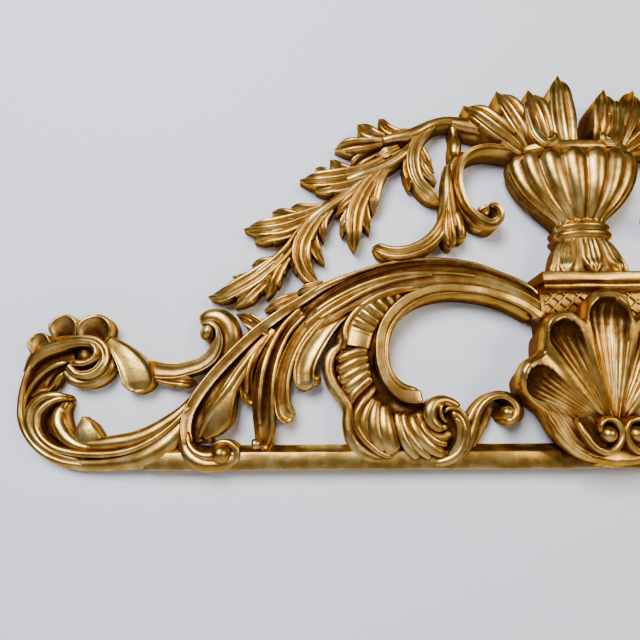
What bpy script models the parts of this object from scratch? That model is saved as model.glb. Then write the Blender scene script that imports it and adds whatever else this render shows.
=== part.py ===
"""Carved and gilded overdoor: a rococo wall ornament with an urn, a scallop shell and acanthus scrolls.

The whole ornament is carved as one. The back is flat at y = 0 and the front looks along -Y, +Z is up and the
axis of symmetry is at x = 0. The origin is on the back face, where the ornament is fixed to its wall.
"""

import math

import bmesh
import bpy
import numpy as np

OBJECT_NAME = "gilt_overdoor"
NODE_NAME = "carved_overdoor"

# Driving sizes, in metres.
HALF_WIDTH = 0.558
FIXING_HEIGHT = 0.060
RAIL_LENGTH = 0.860
RAIL_HEIGHT = 0.0225
RAIL_FACE_HEIGHT = 0.016
RAIL_DEPTH = 0.020
RAIL_TOP_DEPTH = 0.011
SLAB_LENGTH = 0.106
SLAB_THICKNESS = 0.0095
SLAB_DEPTH = 0.045
SLAB_TOP = 0.328 * HALF_WIDTH
BED_HEIGHT = 0.004
BED_DEPTH = 0.037
PANEL_DEPTH = 0.027
STRAP_WIDTH = 0.0028
STRAP_RISE = 0.004
STRAP_PITCH = 0.0125
TRELLIS_HEIGHT = 0.040
TRELLIS_REACH = 0.047
URN_HEIGHT = 0.251 * HALF_WIDTH
URN_HALF_WIDTH = 0.1237 * HALF_WIDTH
GADROON_ANGLE = math.radians(20)
GADROON_RISE = 0.1 * URN_HALF_WIDTH
AXIS_OVERLAP = 0.01
BACK_OVERCUT = 0.006
BACK_FLATNESS = 0.0002
VOXEL = HALF_WIDTH / 328
HALF_TRIANGLES = 5100

# The free carving is drawn on squares, 558 from the axis to the tip of the end scroll.
# Its lines are drawn as the eye sees them on a plane 18 squares off the wall, from 500 squares in front.
SQUARE = HALF_WIDTH / 558
EYE_LEFT = 266
EYE_UP = 31
EYE_DISTANCE = 500
DRAWING_PLANE = 18

# Cross sections: (place across from -1 to 1, depth below the crest in half widths).
ROUND = ((-1, 0.75), (-0.75, 0.28), (-0.4, 0.06), (0, 0), (0.4, 0.06), (0.75, 0.28), (1, 0.75))
RIDGE = ((-1, 0.8), (-0.8, 0.42), (-0.45, 0.42), (0, 0), (0.45, 0.42), (0.8, 0.42), (1, 0.8))
SCOOP = ((-1, 0.35), (-0.85, 0), (-0.5, 0.42), (0, 0.62), (0.5, 0.42), (0.85, 0), (1, 0.35))
SPOON = ((-1, 0.14), (-0.9, 0), (-0.5, 0.2), (0, 0.28), (0.5, 0.2), (0.9, 0), (1, 0.14))
FLAT = ((-1, 0.2), (-0.9, 0), (0, 0), (0.9, 0), (1, 0.2))
ARCH = ((-1, 0.16), (-0.93, 0), (-0.8, 0.1), (-0.45, 0.24), (-0.12, 0.16), (0.02, 0.08), (0.3, 0.24),
        (0.82, 0.62), (0.92, 0.56), (1, 0.66))


def true_place(left, up, relief):
    """Moves a point of the drawing along the line of sight to its own relief, in squares."""
    share = (EYE_DISTANCE - relief) / (EYE_DISTANCE - DRAWING_PLANE)
    return EYE_LEFT + (left - EYE_LEFT) * share, EYE_UP + (up - EYE_UP) * share


def smooth_route(route, step):
    """A smooth curve through the route's points, as rows of left, up, half width and relief."""
    knots = np.array(route, float)
    chord = np.linalg.norm(np.diff(knots[:, :2], axis=0), axis=1)
    place = np.concatenate([[0], np.cumsum(chord)])
    slope = np.gradient(knots, place, axis=0)
    count = max(4, math.ceil(place[-1] / step))
    at = np.linspace(0, place[-1], count + 1)
    index = np.clip(np.searchsorted(place, at, side="right") - 1, 0, len(chord) - 1)
    span = chord[index]
    t = ((at - place[index]) / span)[:, None]
    span = span[:, None]
    first = knots[index] * (2 * t**3 - 3 * t**2 + 1) + slope[index] * span * (t**3 - 2 * t**2 + t)
    last = knots[index + 1] * (3 * t**2 - 2 * t**3) + slope[index + 1] * span * (t**3 - t**2)
    return at, first + last


def end_share(at, half_width, tip, start):
    """How much of the width is left near the ends: 1 along the strand, falling as an ellipse does at a tip."""
    length = at[-1]
    share = np.ones(len(at))
    for reach, from_end in ((tip * half_width[-1], length - at), (start * half_width[0], at)):
        if reach > 0:
            inside = np.clip(1 - from_end / reach, 0, 1)
            share = np.minimum(share, np.sqrt(np.clip(1 - inside**2, 0.004, 1)))
    return share


def place_rings(name, rings):
    """A closed mesh object from rows of points in metres, each ring joined to the next and both ends capped."""
    bm = bmesh.new()
    rows = [[bm.verts.new(point) for point in ring] for ring in rings]
    for near, far in zip(rows, rows[1:]):
        for i in range(len(near)):
            j = (i + 1) % len(near)
            bm.faces.new((near[i], near[j], far[j], far[i]))
    bm.faces.new(rows[0])
    bm.faces.new(rows[-1])
    bmesh.ops.recalc_face_normals(bm, faces=bm.faces)
    mesh = bpy.data.meshes.new(name)
    bm.to_mesh(mesh)
    bm.free()
    return mesh


def strand(route, section=ROUND, tip=0.0, start=0.0, drawn=True, step=4.0):
    """A carved strand along a route of (left, up, half width, relief), in squares, its walls straight to the back."""
    at, rows = smooth_route(route, step)
    across, sink = np.array(section, float).T
    if drawn:
        place = np.array([true_place(left, up, relief) for left, up, _, relief in rows])
    else:
        place = rows[:, :2]
    x = -place[:, 0]
    z = place[:, 1]
    along = np.stack([np.gradient(x), np.gradient(z)], axis=1)
    along /= np.linalg.norm(along, axis=1)[:, None]
    width = np.maximum(rows[:, 2], 0.4)
    share = end_share(at, width, tip, start)
    inside = np.hypot(across[None, :] * share[:, None], np.sqrt(1 - share[:, None] ** 2))
    depth = np.interp(inside * np.where(across < 0, -1, 1), across, sink) * width[:, None]
    reach = across[None, :] * (width * share)[:, None]
    front_x = x[:, None] + along[:, 1:] * reach
    front_z = z[:, None] - along[:, :1] * reach
    front_y = -np.maximum(rows[:, 3:] - depth, 1)
    back = np.full((len(at), 1), BACK_OVERCUT / SQUARE)
    ring_x = np.concatenate([front_x[:, :1], front_x, front_x[:, -1:]], axis=1)
    ring_y = np.concatenate([back, front_y, back], axis=1)
    ring_z = np.concatenate([front_z[:, :1], front_z, front_z[:, -1:]], axis=1)
    return place_rings("strand", np.stack([ring_x, ring_y, ring_z], axis=2) * SQUARE)


def ball(left, up, radius, relief, drawn=True):
    """A round end of a scroll, a half ball on a post."""
    if drawn:
        left, up = true_place(left, up, relief - radius * 0.5)
    bm = bmesh.new()
    bmesh.ops.create_uvsphere(bm, u_segments=16, v_segments=12, radius=radius * SQUARE)
    for vertex in bm.verts:
        if vertex.co.y > 0:
            vertex.co.y += (relief - radius) * SQUARE + BACK_OVERCUT
    bmesh.ops.translate(bm, verts=bm.verts, vec=(-left * SQUARE, -(relief - radius) * SQUARE, up * SQUARE))
    mesh = bpy.data.meshes.new("ball")
    bm.to_mesh(mesh)
    bm.free()
    return mesh


def end_scroll():
    """The big scroll at the outer end, with three petals on its shoulder."""
    hollow = [(505, 106, 10, 8), (525, 101, 11, 8), (536, 88, 11, 8), (539, 70, 11, 9), (540, 55, 9, 9),
              (534, 38, 9, 9), (521, 26, 10, 9), (505, 15, 10, 9)]
    rim = [(542, 110, 2.5, 16), (549, 96, 2.6, 17), (553, 78, 2.8, 17), (553.5, 62, 3, 17), (552, 50, 3, 17),
           (547, 38, 3, 16), (538, 26, 3, 16), (526, 16, 3, 16), (510, 9, 3, 16), (490, 5.5, 3, 16),
           (465, 4, 3, 16), (440, 4.5, 3, 15)]
    upper_rib = [(512, 102, 1.6, 14), (522, 100, 2, 15), (533, 93, 2, 15), (541, 84, 2, 15), (547, 73, 2, 15),
                 (549.5, 60, 2, 15), (546, 44, 1.8, 13)]
    lower_rib = [(512, 92, 1.6, 14), (519, 88, 2, 15), (523, 81, 2, 15), (527, 76, 2, 14), (536, 74, 2, 14),
                 (544, 68, 1.8, 13)]
    skirt = [(488, 122, 5, 15), (476, 114, 6, 16), (471, 103, 6, 17), (475, 91, 6, 18), (485, 84, 6, 19),
             (496, 82, 5, 19), (507, 85, 4.5, 19), (514, 92, 3, 17)]
    roll = [(545, 108, 5, 19), (535, 117, 6.5, 20), (523, 121.5, 7, 21), (510, 123, 6.5, 22), (498, 123.5, 6, 23),
            (486, 120.5, 6, 24), (479, 112.5, 5.5, 25), (478, 103, 5, 26), (483, 95, 4.5, 27), (493, 90, 4.5, 28),
            (503, 91, 4, 28), (511, 98, 3.5, 27)]
    ring = [(512, 103, 2.5, 28), (505, 101.5, 3, 30), (496, 101.5, 3, 30), (488, 106, 3, 30),
            (486, 113, 2.8, 30), (490, 119, 2.5, 29), (497, 121, 2, 28)]
    return [
        strand(hollow, FLAT),
        strand(rim, ROUND),
        strand(upper_rib, ROUND),
        strand(lower_rib, ROUND),
        strand(skirt, ROUND),
        strand(roll, ROUND),
        strand(ring, ROUND),
        strand([(506, 108, 14, 13), (488, 108, 14, 13)], FLAT, 0.6, 0.6),
        strand([(537, 110, 5, 15), (541, 117, 8, 18), (545, 124, 8, 19), (547, 131, 8, 18)], SCOOP, 1),
        strand([(517, 122, 8, 16), (519, 132, 12, 20), (521, 141, 13.5, 21), (522, 150, 13.5, 20)], SCOOP, 1),
        strand([(487, 122, 10, 17), (489, 132, 16, 21), (490.5, 141, 17.5, 22), (491, 150, 17.5, 21)], SCOOP, 1),
    ]


def lower_hook():
    """The long lower scroll that turns up inside the end scroll."""
    outer_lip = [(508, 69, 2, 16), (522, 70, 3.5, 19), (535, 67, 4.5, 20), (543, 57, 5, 20), (544, 45, 5, 20),
                 (538, 33, 4.5, 19), (526, 22, 4, 18), (510, 14, 3.5, 17), (490, 9.5, 3, 17)]
    main_ridge = [(507, 67, 2, 18), (519, 66, 2.6, 21), (529, 61, 3, 23), (536, 52, 3.4, 24), (536, 42, 3.4, 24),
                  (530, 31, 3.2, 24), (518, 22, 3, 24), (502, 17, 3, 24), (482, 15, 3, 24), (462, 15.5, 3, 24),
                  (444, 19, 3, 24), (428, 26, 3, 24), (413, 36, 2.8, 23), (400, 48, 2.5, 22), (390, 60, 2, 21)]
    channel = [(510, 60, 3, 9), (522, 56, 5, 9), (527, 45, 6, 9), (520, 32, 6, 9), (505, 22, 6, 9)]
    inner_ridge = [(511, 62, 3, 15), (518, 56, 3.5, 18), (520, 47, 3.5, 20), (516, 37, 3.5, 21),
                   (508, 28.5, 3.2, 21), (497, 22.5, 3, 21), (483, 20, 2.8, 21)]
    flap = [(507, 64, 3, 14), (512, 54, 5, 15), (511, 45, 6, 15), (506, 36, 5, 15), (501, 30, 4, 15)]
    upper_face = [(497, 27, 5, 18), (480, 24, 6, 20), (462, 25.5, 7, 21), (445, 28, 7.5, 21), (428, 34, 7.5, 21),
                  (412, 43.5, 7, 20), (399, 54, 5.5, 19), (388, 66, 4, 18)]
    lower_face = [(520, 13, 5, 14), (500, 7.5, 6, 14), (478, 6, 6.5, 14), (455, 7.5, 7, 14), (435, 12, 8, 14),
                  (418, 21, 8, 14), (404, 34, 8, 14), (394, 48, 6, 14)]
    leaf_tip = [(484, 23, 9, 20), (487, 32, 10, 22), (491, 41, 7.5, 22), (492, 48, 5, 20)]
    return [
        strand(outer_lip, ROUND),
        strand(main_ridge, ROUND),
        strand(channel, FLAT),
        strand(inner_ridge, ROUND),
        strand(flap, FLAT),
        strand(upper_face, ROUND),
        strand(lower_face, FLAT),
        strand(leaf_tip, RIDGE, 1),
    ]


def tongue_and_curl():
    """The tongue leaf that hangs from the end scroll, and the stem from it to the small curl."""
    tongue = [(474, 123, 5, 17), (462, 113.5, 9, 20), (451, 101, 13.5, 21), (443.5, 88, 16, 21), (440, 72, 15.5, 20)]
    stem = [(436, 96, 5, 18), (420, 94.5, 6, 19), (405, 94.5, 4.5, 20), (392, 96, 5, 21), (381, 100, 6, 22),
            (372.5, 107, 6.5, 23), (367.5, 116, 5.5, 24), (365, 126, 4, 25), (368, 136, 3, 26),
            (376, 141.5, 2.5, 26), (384, 140, 2.5, 24)]
    hood = [(362, 104, 6, 14), (356, 115, 7, 16), (354, 128, 8, 18), (358, 140, 8.5, 19), (367, 147, 8, 19),
            (377, 147.5, 6.5, 18), (384, 141, 4.5, 16)]
    leaflet = [(422, 83, 2.5, 14), (412, 83, 5, 16), (402, 84, 6.5, 17), (390, 83, 7, 17)]
    return [
        strand(tongue, SPOON, 1),
        strand(stem, ROUND),
        strand(hood, ROUND),
        strand([(366, 131, 6, 17), (377, 135, 8.5, 17), (386, 138, 8.5, 17)], FLAT, 1),
        strand(leaflet, SCOOP, 0.7),
    ]


def acanthus():
    """The long acanthus leaf that the arch grows out of, in six strands with a ball under the first."""
    border = [(240, 187, 2.5, 17), (262, 177.5, 3, 18), (285, 163, 3.5, 19), (308, 148, 4, 20), (328, 132.5, 4.5, 20),
              (346, 115.5, 4.5, 20), (362, 98.5, 4.5, 20), (376, 81.5, 4.5, 20), (387, 65, 4.5, 20),
              (394, 50, 4.5, 20), (395, 36, 4.5, 20), (392, 24, 5, 20), (385, 13, 5.5, 20), (375, 6.5, 6, 20),
              (364, 4.5, 6, 20), (351, 8, 6, 19)]
    channel = [(280, 155, 5, 10), (305, 139, 6, 9), (330, 118, 7, 8), (350, 100, 9, 8), (366, 80, 10, 8),
               (378, 60, 9, 8), (384, 42, 8, 8), (380, 26, 7, 9)]
    first = [(296, 146, 3, 19), (318, 129, 5, 21), (337, 109, 8, 23), (350, 91, 10, 24), (359, 73, 13, 24),
             (364, 57, 17, 23), (365, 37, 17, 21)]
    first_crest = [(296, 148, 1.5, 22), (315, 134, 2, 24), (332, 117, 2.5, 26), (346, 99, 3, 28), (357, 82, 3.5, 29),
                   (367, 65, 3.5, 29), (374, 51, 3, 27), (378, 38, 2.5, 24)]
    neck = [(379, 40, 5, 20), (380, 30, 6, 19), (377, 21, 6, 20), (368, 16, 6, 22), (358, 15, 7, 24)]
    short = [(312, 133, 2.5, 20), (327, 114, 4.5, 22), (335, 98, 5.5, 23), (338, 83, 6.5, 23), (336, 70, 7, 22),
             (331, 60, 7, 19)]
    short_crest = [(316, 131, 1.5, 22), (330, 110, 2, 25), (337, 90, 2.2, 26), (336.5, 70, 2, 23)]
    second = [(284, 151, 4, 21), (302, 132, 5.5, 23), (314, 110, 7.5, 25), (320, 90, 9, 26), (322, 70, 9.8, 26),
              (321.5, 52, 9.5, 25), (320, 36, 9, 23), (318, 17, 8, 20)]
    second_crest = [(285, 156, 1.6, 24), (302, 138, 2, 26), (314, 117, 2.2, 28), (321, 96, 2.5, 30),
                    (324, 76, 2.8, 30), (325, 58, 2.4, 29), (323, 40, 2, 25)]
    second_edge = [(280, 149, 1.5, 23), (297, 129, 1.8, 25), (306, 109, 2, 27), (311, 88, 2.2, 28),
                   (312.5, 68, 2.2, 28), (312, 50, 2.2, 26), (313, 34, 2.2, 23), (316, 22, 2, 20)]
    third = [(262, 152, 4, 21), (281, 135, 5.5, 23), (293, 115, 6.5, 24), (300, 95, 7.5, 25), (303, 77, 8, 25),
             (302.5, 60, 8, 24), (299, 41, 8, 22)]
    third_edge = [(262, 146, 1.5, 23), (280, 127, 1.8, 25), (291, 107, 2, 26), (296.5, 88, 2.2, 26),
                  (298, 72, 2.2, 26), (296.5, 58, 3, 25), (292, 46, 4, 22)]
    fourth = [(238, 153, 5, 21), (254, 141, 8, 23), (266, 126, 9.5, 25), (276, 110, 10.5, 26), (281.5, 94, 10.5, 26),
              (281, 74, 10.5, 25)]
    return [
        strand(border, FLAT),
        strand(channel, FLAT),
        strand(first, ROUND, 0.6),
        strand(first_crest, ROUND),
        strand(neck, ROUND),
        ball(358, 14.5, 9.5, 27),
        strand(short, SCOOP, 1),
        strand(short_crest, ROUND),
        strand(second, SCOOP, 0.8),
        strand(second_crest, ROUND),
        strand(second_edge, ROUND),
        ball(329, 24, 6.5, 24),
        strand(third, SCOOP, 1),
        strand(third_edge, ROUND),
        strand(fourth, ROUND, 0.9),
        ball(271.5, 84, 6.5, 23),
    ]


def arch():
    """The broken arch over the opening, a moulding with a hollow between two ridges."""
    body = [(28, 145, 5, 25), (36, 151, 8, 26), (46, 159, 10, 27), (60, 168.5, 12, 28), (80, 178.5, 13, 28),
            (100, 185.5, 14, 28), (120, 189.8, 15, 28), (140, 191, 16, 28), (160, 190.5, 16.5, 28),
            (180, 188, 17, 28), (200, 183, 17, 28), (220, 176, 17, 28), (240, 167, 16, 27), (258, 156, 15, 26),
            (275, 143, 13, 24), (290, 130, 9, 20)]
    upper_ridge = [(108, 187, 1.2, 28), (130, 190.3, 1.6, 29), (155, 191.3, 1.8, 29.5), (180, 190.3, 2, 29.5),
                   (200, 186.5, 2, 29.5), (220, 180, 2, 29), (240, 171, 2, 28), (256, 162, 2, 27), (272, 151, 1.8, 25)]
    lower_ridge = [(150, 189, 1.2, 28.5), (165, 188, 1.6, 29), (185, 184.5, 1.8, 29), (205, 178.5, 2, 29),
                   (225, 169.5, 2, 28.5), (241, 160, 2, 27.5), (256, 151, 2, 26), (268, 143, 1.8, 25)]
    lip = [(24, 143.5, 2, 26), (33, 153, 2.4, 26), (43, 165, 2.4, 24), (52, 174, 2, 21), (66, 183, 1.8, 19),
           (84, 191, 1.8, 18), (102, 198.5, 1.8, 18), (120, 203, 1.8, 18), (140, 205.5, 1.8, 18),
           (160, 205.5, 1.8, 18), (180, 204, 1.8, 18), (200, 200.5, 1.8, 18), (220, 195, 2, 18), (240, 187.5, 2.2, 18)]
    return [
        strand(body, ARCH),
        strand(upper_ridge, ROUND),
        strand(lower_ridge, ROUND),
        strand(lip, ROUND),
    ]


def opening_frame():
    """The raised fillet round the oval opening, with a lower step on its inner side."""
    fillet = [(40, 141, 3.2, 29), (50, 149, 3.2, 30), (62, 157.5, 3.2, 30), (80, 166, 3.2, 31), (100, 172, 3.2, 31),
              (120, 175, 3.2, 32), (140, 175.5, 3.2, 32), (156, 173.5, 3.5, 32), (171, 168, 3.8, 33),
              (184, 160, 4, 33), (195, 149, 4, 33), (202.5, 137, 4, 33), (206.5, 124, 4, 33), (207.5, 110, 4, 33),
              (206, 96, 4, 33), (201.5, 83, 4, 33), (194, 73.5, 4.5, 33), (184, 67.5, 5.3, 33), (175, 66.5, 6, 33),
              (167, 67.5, 6, 32)]
    step = [(54, 144, 3, 24), (66, 153, 3.2, 25), (84, 162, 3.4, 26), (104, 167.5, 3.5, 27), (124, 170, 3.5, 27),
            (142, 169.5, 3.5, 28), (158, 166, 3.5, 28), (172, 160, 3.5, 28), (184, 151, 3.5, 28), (193, 140, 3.5, 28),
            (199, 127, 3.5, 28), (201.5, 113, 3.5, 28), (201, 99, 3.5, 28), (197.5, 88, 3.5, 28), (190, 79, 3.5, 28),
            (180, 74.5, 3.5, 28)]
    return [strand(fillet, FLAT), strand(step, ROUND)]


def rocaille():
    """The ribbed shellwork outside the opening, down to the fluted lobes round its volute."""
    border = [(170, 176.5, 2, 27), (190, 174, 2.4, 27), (205, 169, 2.6, 27), (218, 162, 2.8, 27), (229, 153, 3, 27),
              (237, 143, 3, 27), (241.5, 132, 3.2, 27), (242, 121, 3.2, 25)]
    shoulder = [(232, 152, 3, 14), (240, 142, 4, 14), (244, 131, 4.5, 14), (244, 121, 4.5, 14)]
    field = [(180, 168, 5, 15), (200, 160, 9, 15), (215, 148, 14, 16), (224, 133, 18, 17), (227, 118, 18, 18),
             (231, 104, 18, 18), (232, 90, 19, 18), (226, 76, 19, 18), (212, 60, 26, 16), (200, 45, 36, 15),
             (192, 30, 42, 14), (185, 16, 34, 13)]
    rim = [(246, 119, 3, 20), (253, 111.5, 4, 22), (257.5, 102, 4.6, 23), (258, 91, 4.6, 23), (255, 81, 4.6, 23),
           (249, 71.5, 4.6, 23), (243, 63.5, 4.6, 23), (239, 55, 4.8, 23), (239.5, 43, 4.8, 23), (238, 32, 5, 23),
           (233, 22, 5.2, 22), (224, 14, 5.2, 22), (213, 10, 5, 21), (203, 11, 4.5, 20), (194, 12, 4, 19),
           (184, 9, 4, 19), (172, 6.5, 4, 19), (160, 7, 4, 19), (148, 9, 4, 20)]
    outer_crescent = [(215, 78, 2, 26), (225, 71, 2.6, 28), (232, 60, 3, 28), (233.5, 48, 3, 28), (230, 36, 3, 27),
                      (223, 25, 3, 26), (213, 17, 2.8, 25), (203, 14.5, 2.4, 23)]
    inner_crescent = [(212, 72, 1.6, 26), (220, 64, 2.4, 28), (226, 52, 2.6, 29), (224.5, 39, 2.6, 28),
                      (218, 28, 2.4, 27), (209, 19, 2, 25)]
    lobe = [(205, 64, 7, 23), (207, 52, 12, 28), (206, 38, 14, 30), (201, 24, 11.5, 28), (195, 11, 8, 24)]
    flutes = (
        [(195, 57, 2.6, 23), (194, 45, 3.2, 26), (190, 31, 3.6, 28), (184, 19, 3.6, 27), (173, 8.5, 3, 24)],
        [(188, 55, 2.6, 23), (187, 43, 3.2, 26), (182, 29, 3.8, 28), (173, 18, 3.8, 28), (160, 9.5, 3.2, 24)],
        [(180, 54, 3.2, 23), (179, 43, 4.2, 27), (173, 30, 4.6, 29), (163, 20.5, 4.4, 28), (149, 14.5, 3.4, 24)],
        [(172, 52, 3, 22), (171, 41, 3.6, 25), (165, 31, 3.6, 27), (155, 25, 3.2, 26), (146, 24, 2.6, 24)],
    )
    upper_ribs = ((200, 169.5, 186, 163.5), (209, 163.5, 192, 156.5), (218, 156.5, 198, 151), (228, 148, 202, 143.5),
                  (236, 138.5, 207, 134.5))
    fan = (
        [(247, 107, 3, 25), (233, 112.5, 3.2, 27), (218, 113, 2.4, 25)],
        [(250, 98, 3, 25), (235, 104, 3.2, 27), (219, 106.5, 2.2, 25)],
        [(250, 90, 3, 25), (235, 97, 3, 27), (219, 101, 2.2, 25)],
        [(247, 81.5, 3, 25), (234, 89, 3, 27), (219, 95.5, 2.2, 25)],
    )
    parts = [
        strand(border, ROUND),
        strand(shoulder, ROUND),
        strand(field, FLAT),
        strand([(240, 126, 8, 22), (226, 125.5, 9, 24), (211, 125, 8, 22)], FLAT),
        strand([(243, 74, 6, 25), (231, 81, 7, 28), (217, 87, 5, 26)], ROUND),
        strand(rim, ROUND),
        strand(outer_crescent, ROUND),
        strand(inner_crescent, ROUND),
        strand(lobe, ROUND),
    ]
    for left, up, right, down in upper_ribs:
        middle = ((left + right) / 2, (up + down) / 2 + 0.6, 2.8, 26)
        parts.append(strand([(left, up, 2.6, 25), middle, (right, down, 2.6, 25)], ROUND))
    parts += [strand(rib, ROUND) for rib in fan]
    parts += [strand(flute, ROUND) for flute in flutes]
    return parts


def volute_and_leaf():
    """The volute at the foot of the shellwork, and the leaf that leaves it and curls toward the shell."""
    crown = [(166, 44, 4, 24), (164, 54, 4.6, 26), (156, 61, 4.8, 28), (146, 62, 4.4, 28), (138, 58, 3.6, 27),
             (132, 52, 3, 25)]
    petal = [(152, 45, 3, 27), (153, 52, 3.6, 29), (148, 56.5, 3.2, 30), (140, 54.5, 3.2, 29), (132, 48, 3.8, 28),
             (129, 38, 4.4, 27), (129, 27, 4.8, 26), (134, 16, 4.8, 25), (143, 9, 4.4, 24), (155, 6, 4, 22)]
    inner_petal = [(146, 43, 2.5, 26), (139, 46, 3.6, 29), (135.5, 40, 4.2, 29), (135, 30, 4.6, 28),
                   (139, 20, 4.6, 27), (148, 13, 4, 25)]
    leaf = [(140, 8, 3, 22), (130, 17, 4.2, 23), (124, 28, 4.2, 25), (119.5, 40, 3.8, 26), (116, 50, 3.2, 27),
            (110, 59, 3, 28), (101, 65.5, 3, 29), (91, 67, 3, 30), (83, 63.5, 3, 31), (78.5, 57, 3, 31),
            (79.5, 49, 3, 31), (85, 44, 2.8, 31), (92, 45, 2.5, 30)]
    leaf_back = [(128, 34, 3, 19), (122, 50, 3, 19), (113, 61, 3, 19), (102, 68, 3, 19), (91, 69, 3, 19),
                 (82, 66, 3, 19), (76, 58, 3.2, 19), (77, 48, 4, 19), (86, 43, 4, 19), (94, 46, 4, 19)]
    leaf_hollow = [(127, 20, 5, 14), (119, 34, 6, 14), (112, 46, 6, 14), (106, 56, 5, 14)]
    return [
        strand([(160, 46, 12, 16), (148, 34, 16, 17), (140, 22, 12, 17)], FLAT, 0.6, 0.6),
        strand(crown, ROUND),
        strand(petal, ROUND),
        strand(inner_petal, ROUND),
        ball(158, 43, 4.5, 27),
        ball(152, 37, 3.5, 26),
        strand(leaf, ROUND),
        strand(leaf_back, ROUND),
        strand(leaf_hollow, FLAT),
        ball(88, 51, 7, 33),
    ]


def shell():
    """The scallop shell on the axis: its lobes, its folded lower edge and the volute under it."""
    side_lobe = [(30, 32, 8, 42), (44, 48, 12, 45), (57, 65, 14.5, 50), (68, 79, 16, 55), (78, 92, 16, 56)]
    upper_lobe = [(20, 44, 8, 42), (27, 70, 12, 46), (35, 94, 15.5, 51), (41, 114, 17.5, 56), (45, 135, 17.5, 57)]
    top_lobe = [(0, 46, 10, 43), (0, 78, 14, 47), (0, 108, 18, 52), (0, 134, 21.5, 57), (0, 158, 21.5, 58)]
    web = [(8, 40, 12, 36), (24, 64, 28, 38), (34, 90, 36, 40), (40, 112, 24, 42)]
    fold = [(78, 66, 4, 34), (68, 60, 4.5, 38), (60, 51, 5, 41), (55, 39, 5, 43), (49, 27, 5, 44), (39, 17.5, 5, 45),
            (27, 11.5, 5, 45), (13, 9.5, 5, 44), (-4, 9, 5, 43)]
    flank = [(66, 62, 8, 30), (50, 42, 14, 34), (36, 27, 14, 36), (20, 18, 11, 36)]
    ring = [(-2, 46.5, 3, 48), (9, 48, 3.2, 49), (20, 47, 3.2, 50), (29, 41, 3.4, 50), (31.5, 31.5, 3.4, 50),
            (27, 22, 3.4, 50), (16, 17, 3.4, 50), (4, 17, 3.2, 49), (-3, 19, 3, 48)]
    hook = [(3, 44, 2.4, 49), (12, 43.5, 2.6, 51), (18, 39, 2.6, 52), (19, 32, 2.4, 52)]
    drop = ([(-1, 12, 3, 38), (-1, 5, 3.4, 36), (-1, 0, 3, 33)], [(7, 12, 3, 38), (8, 5.5, 3.4, 36), (9, 1, 3, 33)])
    parts = [strand(top_lobe, SCOOP, 1, drawn=False)]
    parts += [strand(lobe, SCOOP, 0.9, drawn=False) for lobe in (side_lobe, upper_lobe)]
    parts += [strand(body, FLAT, drawn=False) for body in (web, flank)]
    parts += [strand(line, ROUND, drawn=False) for line in (fold, ring, hook, *drop)]
    parts.append(strand([(26, 33, 14, 42), (-4, 33, 14, 42)], FLAT, 0, 0.8, drawn=False))
    parts.append(ball(8.5, 31, 8.5, 54, drawn=False))
    return parts


def trellis():
    """The panel between the arches, crossed by raised diagonal straps."""
    depth = PANEL_DEPTH / SQUARE
    top = (SLAB_TOP - SLAB_THICKNESS) / SQUARE
    panel = [(-3, top - 22, 23, depth), (24, top - 22, 23, depth), (50, top - 15, 16, depth)]
    parts = [strand(panel, FLAT, drawn=False)]
    width = STRAP_WIDTH / 2 / SQUARE
    face = depth + STRAP_RISE / SQUARE
    pitch = STRAP_PITCH / SQUARE
    fall = TRELLIS_HEIGHT / SQUARE
    inner, outer = -AXIS_OVERLAP / 2 / SQUARE, TRELLIS_REACH / SQUARE
    for lean in (-1, 1):
        for place in np.arange(-6, 7) * pitch * math.sqrt(2):
            ends = [(place + lean * fall * (share - 0.5) + outer / 2, top - fall * share, width, face)
                    for share in (0, 1)]
            kept = clip_to_panel(ends, inner, outer)
            if kept:
                parts.append(strand(kept, FLAT, drawn=False, step=8))
    return parts


def clip_to_panel(ends, low, high):
    """The stretch of a straight strap between two distances from the axis, or nothing."""
    (a0, z0, width, face), (a1, z1, _, _) = ends
    shares = sorted(((low - a0) / (a1 - a0), (high - a0) / (a1 - a0)))
    first = max(0.0, shares[0])
    last = min(1.0, shares[1])
    if last - first < 0.15:
        return []
    return [(a0 + (a1 - a0) * t, z0 + (z1 - z0) * t, width, face) for t in (first, last)]


def half_box(length, bottom, top, depth, name):
    """The left half of a straight member, with a little past the axis, as a primitive box."""
    bm = bmesh.new()
    bmesh.ops.create_cube(bm, size=1)
    bmesh.ops.scale(bm, verts=bm.verts, vec=(length / 2 + AXIS_OVERLAP, depth + BACK_OVERCUT, top - bottom))
    centre = (AXIS_OVERLAP / 2 - length / 4, (BACK_OVERCUT - depth) / 2, (top + bottom) / 2)
    bmesh.ops.translate(bm, verts=bm.verts, vec=centre)
    mesh = bpy.data.meshes.new(name)
    bm.to_mesh(mesh)
    bm.free()
    return mesh


def slab():
    """The slab that carries the urn, and the bed mould under it."""
    bottom = SLAB_TOP - SLAB_THICKNESS
    return [
        half_box(SLAB_LENGTH, bottom, SLAB_TOP, SLAB_DEPTH, "slab"),
        half_box(SLAB_LENGTH - 2 * BED_HEIGHT, bottom - BED_HEIGHT, bottom + BED_HEIGHT, BED_DEPTH, "bed"),
    ]


def rail():
    """The straight rail along the foot, with a chamfer along its upper edge."""
    section = ((0, 0), (0, RAIL_DEPTH), (RAIL_FACE_HEIGHT, RAIL_DEPTH), (RAIL_HEIGHT, RAIL_TOP_DEPTH), (RAIL_HEIGHT, 0))
    rings = []
    for x in (-RAIL_LENGTH / 2, AXIS_OVERLAP):
        rings.append([(x, BACK_OVERCUT if depth == 0 else -depth, up) for up, depth in section])
    return [place_rings("rail", rings)]


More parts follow.
